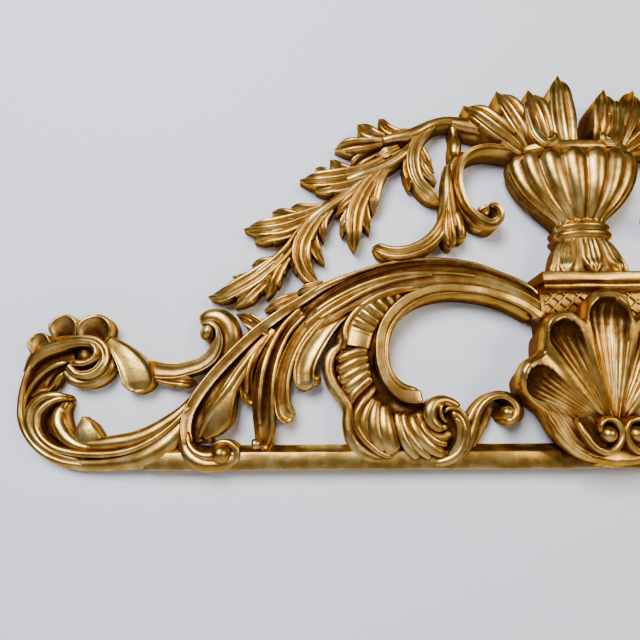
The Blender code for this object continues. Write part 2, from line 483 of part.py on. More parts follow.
def urn():
    """The half urn on the slab: leafy foot, astragal, gadrooned bowl and rim."""
    width = URN_HALF_WIDTH
    height = URN_HEIGHT
    levels = (
        (-0.03, 0.59, 0.43, 0.62, 0), (0.04, 0.57, 0.43, 0.61, 0.5), (0.09, 0.53, 0.43, 0.60, 0.7),
        (0.15, 0.47, 0.42, 0.58, 0.7), (0.21, 0.41, 0.40, 0.56, 0.5), (0.265, 0.36, 0.38, 0.54, 0),
        (0.28, 0.40, 0.36, 0.58, 0), (0.31, 0.41, 0.36, 0.59, 0), (0.335, 0.375, 0.36, 0.56, 0),
        (0.36, 0.40, 0.36, 0.58, 0), (0.385, 0.385, 0.34, 0.57, 0), (0.405, 0.36, 0.32, 0.54, 0.2),
        (0.44, 0.43, 0.31, 0.60, 0.6), (0.48, 0.53, 0.30, 0.66, 0.8), (0.55, 0.68, 0.28, 0.73, 1),
        (0.62, 0.80, 0.26, 0.78, 1), (0.69, 0.89, 0.25, 0.81, 1), (0.76, 0.955, 0.24, 0.83, 1),
        (0.82, 0.99, 0.23, 0.84, 1), (0.865, 1.0, 0.24, 0.83, 1), (0.905, 0.98, 0.28, 0.80, 1),
        (0.93, 0.92, 0.33, 0.75, 0.6), (0.94, 0.82, 0.40, 0.66, 0), (0.965, 0.81, 0.41, 0.65, 0),
        (1.0, 0.81, 0.41, 0.65, 0), (1.01, 0.76, 0.41, 0.62, 0),
    )
    turns = np.linspace(0, math.pi, 37)
    rings = []
    for share, wide, side, front, carved in levels:
        z = SLAB_TOP + share * height
        swell = 1 + carved * GADROON_RISE / width * (np.abs(np.sin(math.pi * (turns - math.pi / 2) / GADROON_ANGLE)) - 1)
        x = -wide * width * swell * np.cos(turns)
        y = -width * (side + (front - side) * np.sin(turns) ** 0.8 * swell)
        ring = [(x[0], BACK_OVERCUT, z)] + [(px, py, z) for px, py in zip(x, y)] + [(x[-1], BACK_OVERCUT, z)]
        rings.append(ring)
    return [place_rings("urn", rings)]


def urn_leaves():
    """The leaves that stand in the urn, tallest on the axis."""
    leaves = (
        ([(-3, 322, 8, 36), (-3, 345, 12, 40), (-3, 378, 13, 40), (-3, 410, 12, 37), (-3, 432, 8, 34)], RIDGE),
        ([(18, 322, 6, 36), (24, 342, 9, 41), (31, 366, 10, 41), (34, 390, 9, 38), (30, 410, 8, 35)], SCOOP),
        ([(34, 322, 6, 33), (43, 342, 9, 36), (51, 363, 10, 37), (62, 384, 9, 35), (76, 400, 7, 31)], RIDGE),
        ([(44, 322, 6, 30), (55, 338, 8, 33), (68, 352, 9, 34), (84, 366, 8, 32), (104, 380, 7, 28)], RIDGE),
    )
    parts = [strand(route, section, 1.2) for route, section in leaves]
    parts.append(strand([(0, 324, 18, 32), (20, 330, 20, 32), (44, 330, 16, 28)], FLAT))
    parts.append(ball(12, 360, 9, 43))
    return parts


def handle():
    """The scrolled handle beside the urn, its stem, and the leaf that drops from it."""
    band = [(42, 326, 4, 29), (55, 328.5, 4, 30), (70, 332, 4, 31), (86, 333, 4, 31), (100, 329, 4.2, 31),
            (110, 320, 4.2, 31), (116, 307, 4.2, 31), (117.5, 294, 4.2, 31), (116, 281, 4.2, 30),
            (111.5, 267, 4.2, 30), (104, 256, 4.4, 30), (95, 248, 4.8, 30), (86, 245, 5, 29), (79.5, 249, 4.6, 28),
            (78.5, 257, 4, 26)]
    skirt = [(106, 329, 5, 20), (119, 318, 5.5, 20), (125, 305, 5.5, 20), (126, 290, 5.5, 20), (123, 275, 5.5, 20),
             (117, 262, 5.5, 20), (109, 251, 5.5, 20), (99, 243.5, 5.5, 20), (89, 241.5, 4.5, 20)]
    stem = [(46, 336, 5, 27), (60, 345, 8, 28), (76, 354, 9, 28), (93, 360, 9.5, 28), (108, 363, 8.5, 27),
            (120, 365, 6, 26)]
    turn = [(98, 358, 3, 30), (108, 352, 4.2, 31), (112, 344, 4, 31), (106, 337, 3.5, 30)]
    knob = [(101, 257, 4, 20), (93, 262, 6.5, 24), (86, 266, 7, 25), (82, 262, 6, 25)]
    joint = [(120, 360, 4, 23), (119, 348, 4, 22), (118, 336, 6.5, 25), (120, 323, 5, 24)]
    drop = [(128, 311, 4, 20), (129, 296, 6, 22), (129, 280, 8, 23), (129, 264, 10, 24), (128, 250, 12.5, 24),
            (127, 236, 12, 23)]
    side_leaf = [(131, 262, 6, 22), (137, 245, 7.5, 24), (146, 231, 8, 25), (160, 219.5, 7.5, 25), (178, 214, 6.5, 24),
                 (194, 215, 6.5, 22), (209, 223, 6, 19)]
    middle_leaf = [(131, 262, 3, 25), (131, 248, 5, 26), (131, 235, 6.5, 26), (129, 220, 6.5, 22)]
    inner_leaf = [(124, 262, 3, 24), (120, 249, 4.5, 25), (118.5, 239, 4.5, 25), (118, 227, 4.5, 22)]
    return [
        strand(band, FLAT),
        strand(skirt, ROUND),
        strand(stem, ROUND),
        strand(turn, ROUND),
        strand(knob, FLAT),
        strand(joint, ROUND, 0.6, 0.6),
        strand(drop, ROUND, 0.5),
        strand(side_leaf, RIDGE, 1.2),
        strand(middle_leaf, RIDGE, 0.6),
        strand(inner_leaf, ROUND, 0.8),
    ]


def garland():
    """The hanging garland, leaf out of leaf, from the handle down to the arch."""
    stems = (
        [(112, 366, 5, 25), (130, 366.5, 4.5, 25), (145, 362, 5, 25), (158, 355, 6, 26), (172, 349, 6, 26),
         (186, 346, 5, 25), (200, 342, 5, 23)],
        [(150, 352, 5, 22), (162, 340, 5, 23), (174, 328, 5.5, 24), (188, 317, 5.5, 24), (204, 309, 6, 24),
         (222, 302, 6, 24), (240, 294, 5, 22)],
        [(205, 303, 5, 20), (222, 292, 6, 21), (236, 280, 5.5, 21), (248, 272, 5, 22), (262, 262, 6, 23),
         (276, 250, 6.5, 23), (288, 236, 6, 22)],
        [(276, 250, 5, 21), (288, 234, 5, 22), (297, 220, 5.5, 23), (308, 207, 6.5, 24), (322, 194, 7, 24),
         (338, 183, 7, 23)],
    )
    scoops = (
        [(168, 351, 5, 23), (181, 351, 6, 23), (192, 357, 6.5, 21), (200, 371, 5, 18)],
        [(196, 345, 6, 22), (206, 349, 8, 22), (214, 355, 9.5, 21), (223, 367, 9, 18)],
        [(198, 341, 5, 22), (214, 339, 7, 22), (230, 338, 8.5, 21), (249, 335, 8, 18)],
        [(196, 334, 5, 16), (210, 326, 7, 16), (222, 320, 8, 15), (233, 310, 8, 13)],
        [(220, 304, 5, 22), (235, 306, 7, 21), (246, 311, 7.5, 20), (254, 322, 6.5, 17)],
        [(240, 302, 4, 22), (253, 303, 5, 21), (262, 306, 5, 19), (270, 311, 4.5, 17)],
        [(250, 270, 3, 20), (268, 263, 5, 20), (282, 263, 5.5, 19), (296, 266, 5.5, 17)],
        [(272, 254, 4, 21), (290, 254, 6.5, 21), (304, 257, 7, 20), (316, 261, 6.5, 17)],
        [(298, 216, 3, 20), (312, 206, 5, 21), (324, 203, 5.5, 19), (336, 201, 5, 17)],
        [(318, 196, 4, 21), (332, 189, 5.5, 21), (343, 187, 5.5, 19), (355, 189, 5, 17)],
    )
    ridges = (
        [(180, 333, 4, 23), (192, 328, 5.5, 24), (207, 324, 5, 21)],
        [(196, 318, 6, 22), (222, 305, 8, 24), (248, 299, 9.5, 24), (270, 297, 8.5, 22), (287, 297, 7.5, 18)],
        [(215, 300, 5, 20), (236, 290, 6, 21), (254, 286, 5.5, 20), (270, 284, 4.5, 17)],
        [(140, 362, 4, 22), (152, 352, 5.5, 24), (160, 339, 6.5, 25), (164.5, 324, 7, 25), (164.5, 308, 7, 25),
         (160, 293, 6.5, 24), (151, 281, 6.5, 22), (139, 268, 5.5, 18)],
        [(170, 322, 4, 20), (172, 308, 4.5, 20), (170, 296, 4.5, 19), (170, 285, 4, 17)],
        [(158, 334, 4, 21), (153, 322, 5, 21), (149, 312, 5, 20), (143, 304, 4.5, 17)],
        [(158, 316, 4, 20), (152, 304, 4.5, 20), (147, 297, 4, 19), (141, 292, 3.5, 17)],
        [(200, 306, 5, 23), (213, 291, 7, 24), (222, 275, 8.5, 25), (228, 258, 9, 25), (230, 238, 8, 23),
         (230, 217, 6.5, 19)],
        [(218, 286, 5, 21), (230, 274, 6, 22), (239, 266, 5.5, 20), (249, 256, 4.5, 17)],
        [(226, 268, 5, 21), (236, 254, 5.5, 21), (241, 244, 5, 20), (242, 233, 4.5, 17)],
        [(220, 268, 5, 21), (218, 254, 5, 21), (217, 246, 5, 20), (214, 236, 4.5, 17)],
        [(196, 306, 4, 22), (203, 292, 5, 23), (207, 279, 5.5, 22), (210, 258, 5, 18)],
        [(262, 262, 5, 22), (284, 252, 8, 23), (304, 245, 10, 23), (324, 242, 9, 21), (345, 241, 7.5, 17)],
        [(280, 246, 5, 20), (300, 236, 6.5, 21), (316, 232, 6, 20), (334, 228, 5, 17)],
        [(255, 262, 4, 20), (262, 250, 4.5, 21), (263, 240, 4.5, 20), (262, 227, 4.5, 17)],
        [(266, 256, 6, 23), (277, 240, 8, 25), (284, 224, 9, 26), (285, 208, 9, 25), (280, 194, 8, 22),
         (267, 181, 6, 18)],
        [(274, 240, 4, 20), (272, 224, 5.5, 21), (268, 213, 5.5, 20), (261, 203, 5, 17)],
        [(292, 226, 4.5, 20), (294, 213, 5, 20), (292, 203, 4.5, 19), (290, 192, 4, 17)],
        [(312, 204, 6, 24), (332, 188, 8, 25), (350, 177, 8, 24), (364, 169, 7, 21), (379, 168, 6.5, 18)],
        [(318, 188, 5, 21), (330, 176, 6, 22), (340, 166, 6, 21), (352, 157, 5, 18)],
        [(300, 210, 5, 22), (309, 196, 7, 24), (315, 182, 7.5, 24), (320, 166, 7, 21)],
        [(288, 168, 4, 17), (300, 163, 5.5, 18), (311, 158, 6, 17), (322, 153, 6, 14)],
        [(262, 180, 3, 17), (272, 178, 4, 18), (282, 174, 5, 17), (291, 170, 5, 14)],
        [(318, 132, 5, 18), (328, 138, 7, 18), (338, 144, 7, 17), (350, 150, 6, 14)],
    )
    parts = [strand(stem, ROUND, 1) for stem in stems]
    parts += [strand(lobe, SCOOP, 1.1) for lobe in scoops]
    parts += [strand(lobe, RIDGE, 1.2) for lobe in ridges]
    return parts


def join_meshes(name, meshes):
    """One mesh object from many, which then are removed."""
    bm = bmesh.new()
    for mesh in meshes:
        bm.from_mesh(mesh)
        bpy.data.meshes.remove(mesh)
    bmesh.ops.triangulate(bm, faces=bm.faces)
    joined = bpy.data.meshes.new(name)
    bm.to_mesh(joined)
    bm.free()
    return bpy.data.objects.new(name, joined)


def gilding():
    """Water gilding over red bole."""
    material = bpy.data.materials.new("gilding")
    material.use_nodes = True
    shader = material.node_tree.nodes["Principled BSDF"]
    shader.inputs["Base Color"].default_value = (0.62, 0.38, 0.12, 1)
    shader.inputs["Metallic"].default_value = 1.0
    shader.inputs["Roughness"].default_value = 0.33
    return material


def made_mesh(obj):
    """The mesh that the object's modifiers make, as a new mesh."""
    bpy.context.view_layer.update()
    made = bpy.data.meshes.new_from_object(obj.evaluated_get(bpy.context.evaluated_depsgraph_get()))
    obj.modifiers.clear()
    return made


def cut_back(mesh):
    """Cuts the mesh flat on the wall plane, where the ornament lies on its wall, and closes it there."""
    bm = bmesh.new()
    bm.from_mesh(mesh)
    everything = bm.verts[:] + bm.edges[:] + bm.faces[:]
    cut = bmesh.ops.bisect_plane(bm, geom=everything, plane_co=(0, 0, 0), plane_no=(0, 1, 0), clear_outer=True)
    rim = [item for item in cut["geom_cut"] if isinstance(item, bmesh.types.BMEdge)]
    bmesh.ops.triangle_fill(bm, edges=rim, use_beauty=True, normal=(0, 1, 0))
    bmesh.ops.recalc_face_normals(bm, faces=bm.faces)
    bm.to_mesh(mesh)
    bm.free()


def main():
    for old in list(bpy.data.objects):
        bpy.data.objects.remove(old)
    parts = bpy.data.collections.new(OBJECT_NAME)
    bpy.context.scene.collection.children.link(parts)

    meshes = []
    for group in (rail, slab, urn, end_scroll, lower_hook, tongue_and_curl, acanthus, arch, opening_frame, rocaille,
                  volute_and_leaf, shell, trellis, urn_leaves, handle, garland):
        meshes += group()
    carving = join_meshes(NODE_NAME, meshes)
    parts.objects.link(carving)

    fuse = carving.modifiers.new("fuse", "REMESH")
    fuse.mode = "VOXEL"
    fuse.voxel_size = VOXEL
    carving.data = made_mesh(carving)
    cut_back(carving.data)

    thin = carving.modifiers.new("thin", "DECIMATE")
    thin.ratio = HALF_TRIANGLES / sum(len(face.vertices) - 2 for face in carving.data.polygons)
    carving.data = made_mesh(carving)
    for vertex in carving.data.vertices:
        vertex.co.z -= FIXING_HEIGHT
        if vertex.co.y > -BACK_FLATNESS:
            vertex.co.y = 0

    both = carving.modifiers.new("both", "MIRROR")
    both.use_bisect_axis[0] = True
    both.use_bisect_flip_axis[0] = True
    both.merge_threshold = 0.00001
    carving.data.name = NODE_NAME
    carving.data.materials.clear()
    carving.data.materials.append(gilding())


main()
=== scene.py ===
import math

import bpy
import numpy as np
from mathutils import Matrix, Vector


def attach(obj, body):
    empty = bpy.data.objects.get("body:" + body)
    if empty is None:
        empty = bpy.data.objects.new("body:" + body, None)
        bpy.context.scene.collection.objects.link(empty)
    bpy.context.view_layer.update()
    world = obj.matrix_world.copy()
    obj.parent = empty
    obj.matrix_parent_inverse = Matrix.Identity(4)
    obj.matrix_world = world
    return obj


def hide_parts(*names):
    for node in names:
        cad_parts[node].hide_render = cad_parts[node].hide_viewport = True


# A carved and water-gilded rococo overdoor on a pale wall: urn, scallop shell, acanthus and end scrolls.
# The free carving is drawn on squares of one millimetre: left of the axis, up from the foot of the rail,
# half width and relief. Its lines are drawn as the eye sees them on a plane 18 squares off the wall.

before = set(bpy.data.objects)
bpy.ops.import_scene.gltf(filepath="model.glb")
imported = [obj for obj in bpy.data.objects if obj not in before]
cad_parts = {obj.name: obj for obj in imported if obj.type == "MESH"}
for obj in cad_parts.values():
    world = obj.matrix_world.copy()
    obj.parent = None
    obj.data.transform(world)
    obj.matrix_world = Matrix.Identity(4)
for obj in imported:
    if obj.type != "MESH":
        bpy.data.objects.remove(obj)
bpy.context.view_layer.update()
print("frame loaded")

drawing = {
    "square": 0.001,       # metres to a square
    "fixingHeight": 60,    # squares from the foot of the rail up to the origin
    "eyeLeft": 266, "eyeUp": 31, "eyeDistance": 500, "plane": 18,
    "station": 1.5,        # squares between two rings of a strand
    "facet": 0.9,          # squares between two points across it
    "undercut": 0.12,      # how far a wall leans in toward the back, in half widths
    "sharpAngle": 48,      # degrees, from which an edge is shaded sharp
}
sideWallShade = 2              # marks a point of a side wall or an end, which is painted evenly brown as shade


def bothSides(*half):
    # A section from its middle out to one edge, and the same out to the other.
    return [(-place, deep) for place, deep in half[::-1] if place] + list(half)


# Cross sections: place across from -1 to 1, depth below the crest in half widths.
flatTop = bothSides((0, 0), (0.75, 0), (0.9, 0.03), (1, 0.2))
roundTop = bothSides((0, 0), (0.4, 0.07), (0.75, 0.28), (0.93, 0.5), (1, 0.78))
ridged = bothSides((0, 0), (0.15, 0.16), (0.45, 0.42), (0.75, 0.36), (0.92, 0.5), (1, 0.8))
scooped = bothSides((0, 0.62), (0.45, 0.48), (0.75, 0.08), (0.85, 0), (0.94, 0.08), (1, 0.4))
spooned = bothSides((0, 0.28), (0.5, 0.2), (0.88, 0), (0.95, 0.02), (1, 0.2))
channelled = bothSides((0.3, 0.34), (0.6, 0.1), (0.85, 0), (1, 0.2))
beaded = bothSides((0, 0), (0.4, 0.1), (0.8, 0.5), (1, 1.2))
coved = bothSides((0, 0.6), (0.5, 0.45), (1, 0))
grooved = bothSides((0, 0), (0.22, 0.13), (0.34, 0.28), (0.45, 0.16), (0.7, 0.1), (0.9, 0.26), (1, 0.6))
dished = bothSides((0, 0.08), (0.6, 0.1), (0.8, 0.06), (0.9, 0), (0.96, 0.06), (1, 0.3))
leafy = [(-1, 0.8), (-0.92, 0.42), (-0.72, 0.1), (-0.5, 0), (-0.28, 0.1), (-0.1, 0.34), (0, 0.42), (0.1, 0.3),
         (0.25, 0.12), (0.5, 0), (0.72, 0.12), (0.92, 0.5), (1, 0.85)]
padded = [(-1, 0.4), (-0.9, 0.15), (-0.6, 0.03), (0, 0), (0.6, 0.06), (0.9, 0.22), (1, 0.45)]
lipped = [(-1, 0.5), (-0.7, 0.5), (-0.25, 0.42), (0.15, 0.25), (0.4, 0.06), (0.6, 0), (0.8, 0.05),
          (0.93, 0.2), (1, 0.45)]
archTop = [(-1, 0.16), (-0.93, 0), (-0.8, 0.1), (-0.45, 0.24), (-0.12, 0.16), (0.02, 0.08), (0.3, 0.24),
           (0.82, 0.62), (0.92, 0.56), (1, 0.66)]


def line(section, *routes, tip=0, start=0, **more):
    # One kind of strand: its section, its routes of (left, up, half width, relief), and how many half widths
    # its ends take to round off. It may have veins along it (how many, how deep), flutes across it (pitch,
    # depth, where they stop), a darkening that grows with the section's depth, partly age and partly painted
    # shade in its hollows and at its edges, an even darkening that is partly age and partly painted shade, a
    # point (its length in half widths) with a notch (how many, how deep), a sink, which is how far an end
    # bends down, and widen, a factor on its widths.
    return dict(section=section, routes=routes, tip=tip, start=start, **more)


def even(width, relief, *places):
    # A run of points that share one half width and one relief.
    return [(*place, width, relief) for place in places]


def ball(left, up, radius, relief):
    return dict(ball=(left, up, radius, relief))


def truePlace(left, up, relief):
    # A point of the drawing slides along the line of sight to its own relief, in the share of the distances.
    share = (drawing["eyeDistance"] - relief) / (drawing["eyeDistance"] - drawing["plane"])
    return (drawing["eyeLeft"] + (left - drawing["eyeLeft"]) * share,
            drawing["eyeUp"] + (up - drawing["eyeUp"]) * share)


def hermite(knots, slopes, place, at):
    # A cubic between each two knots, with the slopes given at both.
    index = np.clip(np.searchsorted(place, at, side="right") - 1, 0, len(place) - 2)
    span = (place[index + 1] - place[index])[..., None]
    t = ((at - place[index])[..., None]) / span
    return (knots[index] * (2 * t**3 - 3 * t**2 + 1) + slopes[index] * span * (t**3 - 2 * t**2 + t)
            + knots[index + 1] * (3 * t**2 - 2 * t**3) + slopes[index + 1] * span * (t**3 - t**2))


def smoothTable(table, at):
    # A curve through the table's rows that never swings past them: each slope is the harmonic mean of the
    # slopes on its two sides.
    rows = np.array(table, float)
    place, value = rows[:, 0], rows[:, 1:]
    side = np.diff(value, axis=0) / np.diff(place)[:, None]
    slope = np.zeros_like(value)
    before, after = side[:-1], side[1:]
    same = before * after > 0
    slope[1:-1] = np.where(same, 2 * before * after / np.where(same, before + after, 1), 0)
    slope[0], slope[-1] = side[0], side[-1]
    return hermite(value, slope, place, at)


def smoothRoute(route, step):
    # Left, up, half width and relief along a smooth curve through the route's points.
    knots = np.array(route, float)
    chord = np.linalg.norm(np.diff(knots[:, :2], axis=0), axis=1)
    place = np.concatenate([[0], np.cumsum(chord)])
    at = np.linspace(0, place[-1], max(6, math.ceil(place[-1] / step)) + 1)
    return at, hermite(knots, np.gradient(knots, place, axis=0), place, at)


def endShare(at, halfWidth, tip, start):
    # The share of the width left near the ends, falling as an ellipse does at a tip.
    share = np.ones(len(at))
    for reach, fromEnd in ((tip * halfWidth[-1], at[-1] - at), (start * halfWidth[0], at)):
        if reach > 0:
            inside = np.clip(1 - fromEnd / reach, 0, 1)
            share = np.minimum(share, np.sqrt(np.clip(1 - inside**2, 0.003, 1)))
    return share


def leafShare(at, halfWidth, kind):
    # A leaf narrows to a point, and its edge steps in after each of its lobes.
    share = np.ones(len(at))
    lobes, cut = kind.get("notch", (0, 0))
    if lobes:
        place = np.clip(at / at[-1], 0, 0.999) * lobes
        share = 1 - cut * (1 - (place % 1)**0.7) * np.clip(place, 0, 1)
    reach = kind["point"] * halfWidth[-1]
    ending = 1 - np.clip(1 - (at[-1] - at) / reach, 0, 1)**1.7
    return np.clip(share * ending, 0.05, 1)[:, None], ending[:, None]


def withWalls(front, walls):
    # Adds the foot and the middle of the two side walls to the columns of a front.
    left, right = walls[:, :1], walls[:, 1:]
    return np.hstack([left, (left + front[:, :1]) / 2, front, (right + front[:, -1:]) / 2, right])


def strand(route, kind, seen=True):
    # A section carried along a route: the front follows the section, the walls lean in to the flat back.
    at, rows = smoothRoute(route, drawing["station"])
    place = np.array([truePlace(*row[[0, 1, 3]]) for row in rows]) if seen else rows[:, :2]
    x, z = -place[:, 0], place[:, 1]
    along = np.stack([np.gradient(x), np.gradient(z)], axis=1)
    along /= np.linalg.norm(along, axis=1)[:, None]
    width = np.maximum(rows[:, 2] * kind.get("widen", 1), 0.4)[:, None]
    thin = 3 if kind["section"] is roundTop and width.max() < 6 else 0
    share = endShare(at, width[:, 0], kind["tip"] or thin, kind["start"] or thin)[:, None]
    ending = share
    if "point" in kind:
        share, ending = leafShare(at, width[:, 0], kind)
    count = int(np.clip(round(2 * width.max() / drawing["facet"]), 10, 40)) + 1
    spread = np.linspace(-1, 1, count)[None, :]
    across = np.sin(spread * math.pi / 2) * 0.6 + spread * 0.4
    inside = np.hypot(across * share, np.sqrt(1 - share**2)) * np.where(across < 0, -1, 1)
    reach = across * width * share
    if "point" in kind:
        # The edge is cut back to the leaf's outline while the ridges run straight on to it.
        reach = across * width / (1 + np.abs(across / share)**9)**(1 / 9)
        inside = reach / width
    depth = smoothTable(kind["section"], inside)[..., 0] * width
    veins, cut = kind.get("veins", (0, 0))
    if veins:
        fade = np.clip(np.minimum(at, at[-1] - at) / (0.25 * at[-1]), 0, 1)[:, None]
        wave = 0.5 - 0.5 * np.cos(math.pi * veins * (across + 1))
        depth = depth + cut * fade * wave * (np.abs(across) < 0.96)
    pitch, groove, last = kind.get("flutes", (0, 0, 0))
    if pitch:
        cut = groove * (1 - np.abs(np.sin(math.pi * at / pitch))) * np.clip((last - at) / pitch, 0, 1)
        depth = depth + cut[:, None] * (1 - across**4)
    relief = np.maximum(rows[:, 3:] - depth - (1 - ending) * kind.get("sink", 1) * width, 1)
    foot = reach[:, [0, -1]]
    lean = 1 - drawing["undercut"]
    ringX = withWalls(x[:, None] + along[:, 1:] * reach, x[:, None] + along[:, 1:] * foot * lean)
    ringZ = withWalls(z[:, None] - along[:, :1] * reach, z[:, None] - along[:, :1] * foot * lean)
    out = withWalls(relief, 0 * foot)
    # The fourth column darkens the section's hollows and its edges where strands meet: partly age, partly
    # painted shade.
    dull = kind.get("dull", 0) + kind.get("stain", 0.55) * depth / width
    stain = np.pad(dull, ((0, 0), (2, 2)), constant_values=sideWallShade)
    return np.stack([ringX, out, ringZ, stain], axis=2)


def dome(left, up, radius, relief, seen=True):
    # Rings of a half ball from its pole down to the equator, then straight back to the wall.
    if seen:
        left, up = truePlace(left, up, relief - radius * 0.5)
    turn = np.linspace(2 * math.pi, 0, 28, endpoint=False)
    fall = np.linspace(0.03, 1, 12) * math.pi / 2
    size = np.append(radius * np.sin(fall), radius * 0.9)[:, None]
    out = np.append(relief - radius + radius * np.cos(fall), 0)[:, None] * np.ones_like(turn)
    # Painted shade: each ball darkens as its surface turns toward its foot, and the foot is painted like a
    # side wall.
    stain = np.append(0.35 * (1 - np.cos(fall)), sideWallShade)[:, None] + 0 * turn
    return np.stack([-left + size * np.cos(turn), out, up + size * np.sin(turn), stain], axis=2)


def groupRings(group, seen=True):
    # Every strand and ball of a group of lines, as grids of rings.
    grids = []
    for kind in group.values():
        if "ball" in kind:
            grids.append(dome(*kind["ball"], seen=seen))
        else:
            grids += [strand(route, kind, seen) for route in kind["routes"]]
    return grids


endScroll = {
    # The hollow and the eye's ground are darkened evenly, as painted shade behind the scrolls.
    "hollow": line(flatTop, [(505, 106, 10, 8), (525, 101, 11, 8), (536, 88, 11, 8), (539, 70, 11, 9),
    (540, 55, 9, 9), (534, 38, 9, 9), (521, 26, 10, 9), (505, 15, 10, 9)], dull=0.7),
    "rim": line(roundTop, [(542, 110, 2.5, 16), (549, 96, 2.6, 17), (553, 78, 2.8, 17), (553.5, 62, 3, 17),
    (552, 50, 3, 17), *even(3, 16, (547, 38), (538, 26), (526, 16), (510, 9), (490, 5.5), (465, 4)),
    (440, 4.5, 3, 15)]),
    "upperRib": line(roundTop, [(512, 102, 1.6, 14), *even(2, 15, (522, 100), (533, 93), (541, 84), (547, 73),
    (549.5, 60)), (546, 44, 1.8, 13)]),
    "lowerRib": line(roundTop, [(512, 92, 1.6, 14), (519, 88, 2, 15), (523, 81, 2, 15), (527, 76, 2, 14),
    (536, 74, 2, 14), (544, 68, 1.8, 13)]),
    "skirt": line(roundTop, [(488, 122, 5, 15), (476, 114, 6, 16), (471, 103, 6, 17), (475, 91, 6, 18),
    (485, 84, 6, 19), (496, 82, 5, 19), (507, 85, 4.5, 19), (514, 92, 3, 17)]),
    "roll": line(roundTop, [(552, 92, 3, 16), (546, 107, 6.5, 19), (536, 116, 8.5, 20), (523, 120.5, 8.5, 21),
    (510, 123, 6.5, 22), (498, 123.5, 6, 23), (486, 120.5, 6, 24), (479, 112.5, 5.5, 25), (478, 103, 5, 26),
    (483, 95, 4.5, 27), (493, 90, 4.5, 28), (503, 91, 4, 28), (511, 98, 3.5, 27)], veins=(2, 1.1)),
    "ring": line(roundTop, [(512, 103, 2.5, 28), *even(3, 30, (505, 101.5), (496, 101.5), (488, 106)),
    (486, 113, 2.8, 30), (490, 119, 2.5, 29), (497, 121, 2, 28)]),
    "eyeGround": line(flatTop, [(506, 108, 14, 13), (488, 108, 14, 13)], tip=0.6, start=0.6, dull=0.5),
    "petals": line(spooned, [(533, 106, 8, 15), (538, 113, 10.5, 18), (543, 122, 11.5, 20),
    (546, 131.5, 11, 20)], [(517, 120, 10, 16), (519, 131, 13.5, 20), (521.5, 141, 15, 22),
    (523, 150.5, 15, 22)], [(487, 120, 12, 17), (489, 131, 17, 21), (490.5, 141, 18.5, 23),
    (491, 151, 18.5, 23)], tip=1, stain=1.6, sink=0.15, dull=0.3),
}

lowerHook = {
    "outerLip": line(roundTop, [(508, 69, 2, 16), (522, 70, 3.5, 19), (535, 67, 4.5, 20), (543, 57, 5, 20),
    (544, 45, 5, 20), (538, 33, 4.5, 19), (526, 22, 4, 18), (510, 14, 3.5, 17), (490, 9.5, 3, 17)]),
    "mainRidge": line(roundTop, [(507, 67, 2, 18), (519, 66, 2.6, 21), (529, 61, 3, 23), (536, 52, 3.4, 24),
    (536, 42, 3.4, 24), (530, 31, 3.2, 24), *even(3, 24, (518, 22), (502, 17), (482, 15), (462, 15.5),
    (444, 19), (428, 26)), (413, 36, 2.8, 23), (400, 48, 2.5, 22), (390, 60, 2, 21)]),
    "channel": line(flatTop, [(510, 60, 3, 9), (522, 56, 5, 9), *even(6, 9, (527, 45), (520, 32), (505, 22))],
    dull=0.6),
    "innerRidge": line(roundTop, [(510, 61, 4, 14), (516, 54, 6, 17), (517, 45, 7, 19), (512.5, 36, 7, 20),
    (505, 28.5, 6, 21), (495, 23, 4.5, 21), (480, 20, 3, 21)], tip=3, start=1),
    "flap": line(spooned, [(507, 64, 3, 14), (512, 54, 5, 15), (511, 45, 6, 15), (506, 36, 5, 15),
    (501, 30, 4, 15)], tip=1, start=1, dull=0.35),
    "upperFace": line(roundTop, [(497, 27, 5, 18), (480, 24, 6, 20), (462, 25.5, 7, 21), (445, 28, 7.5, 21),
    (428, 34, 7.5, 21), (412, 43.5, 7, 20), (399, 54, 5.5, 19), (388, 66, 4, 18)], start=2),
    "lowerFace": line(roundTop, [(524, 15, 4, 13), (500, 7.5, 6, 15), (478, 6, 6.5, 17), (455, 7.5, 7.5, 20),
    (437, 10.5, 9.5, 22.5), (420, 19, 10, 23), (404, 33, 9, 21), (394, 48, 6, 18)], start=1.5),
    "leafTip": line(padded, [(478, 14, 15, 16), (484, 27, 13, 19.5), (489, 38, 10, 20), (493, 50, 6, 18)],
    point=2.2, sink=0.3),
}

tongueAndCurl = {
    "tongue": line(dished, [(474, 123, 5, 17), (462, 113.5, 9, 20), (451, 101, 13.5, 21), (443.5, 88, 16, 21),
    (440, 72, 15.5, 20)], tip=0.8, dull=0.12, sink=0.3),
    "stem": line(spooned, [(438, 96, 9, 17), (420, 93.5, 8.5, 19), (405, 93, 7.5, 20), (392, 96, 7, 21),
    (381, 100, 6.8, 22), (372.5, 107, 6.5, 23), (367.5, 116, 5.5, 24), (365.5, 126, 3.2, 25),
    (368, 135, 1.9, 26), (375, 140.5, 1.5, 26), (384, 140, 1.3, 24)]),
    "hood": line(roundTop, [(362, 100, 6, 15), (355.5, 114, 8, 19), (353.5, 128, 9.5, 22), (358, 140, 10, 23),
    (367, 147, 9, 23), (377, 147.5, 7.5, 22), (386, 141, 5, 19)], tip=1, stain=0.9),
    "curlEnd": line(roundTop, [(369, 130, 7, 21), (378, 133, 9.5, 24), (386, 136, 7.5, 22)], tip=1, start=1,
    dull=0.4),
    "leaflet": line(leafy, [(430, 88, 4, 15), (414, 84.5, 6.5, 18), (402, 83.5, 7.5, 19), (388, 82, 7, 18)],
    point=1.5, notch=(2, 0.25)),
}

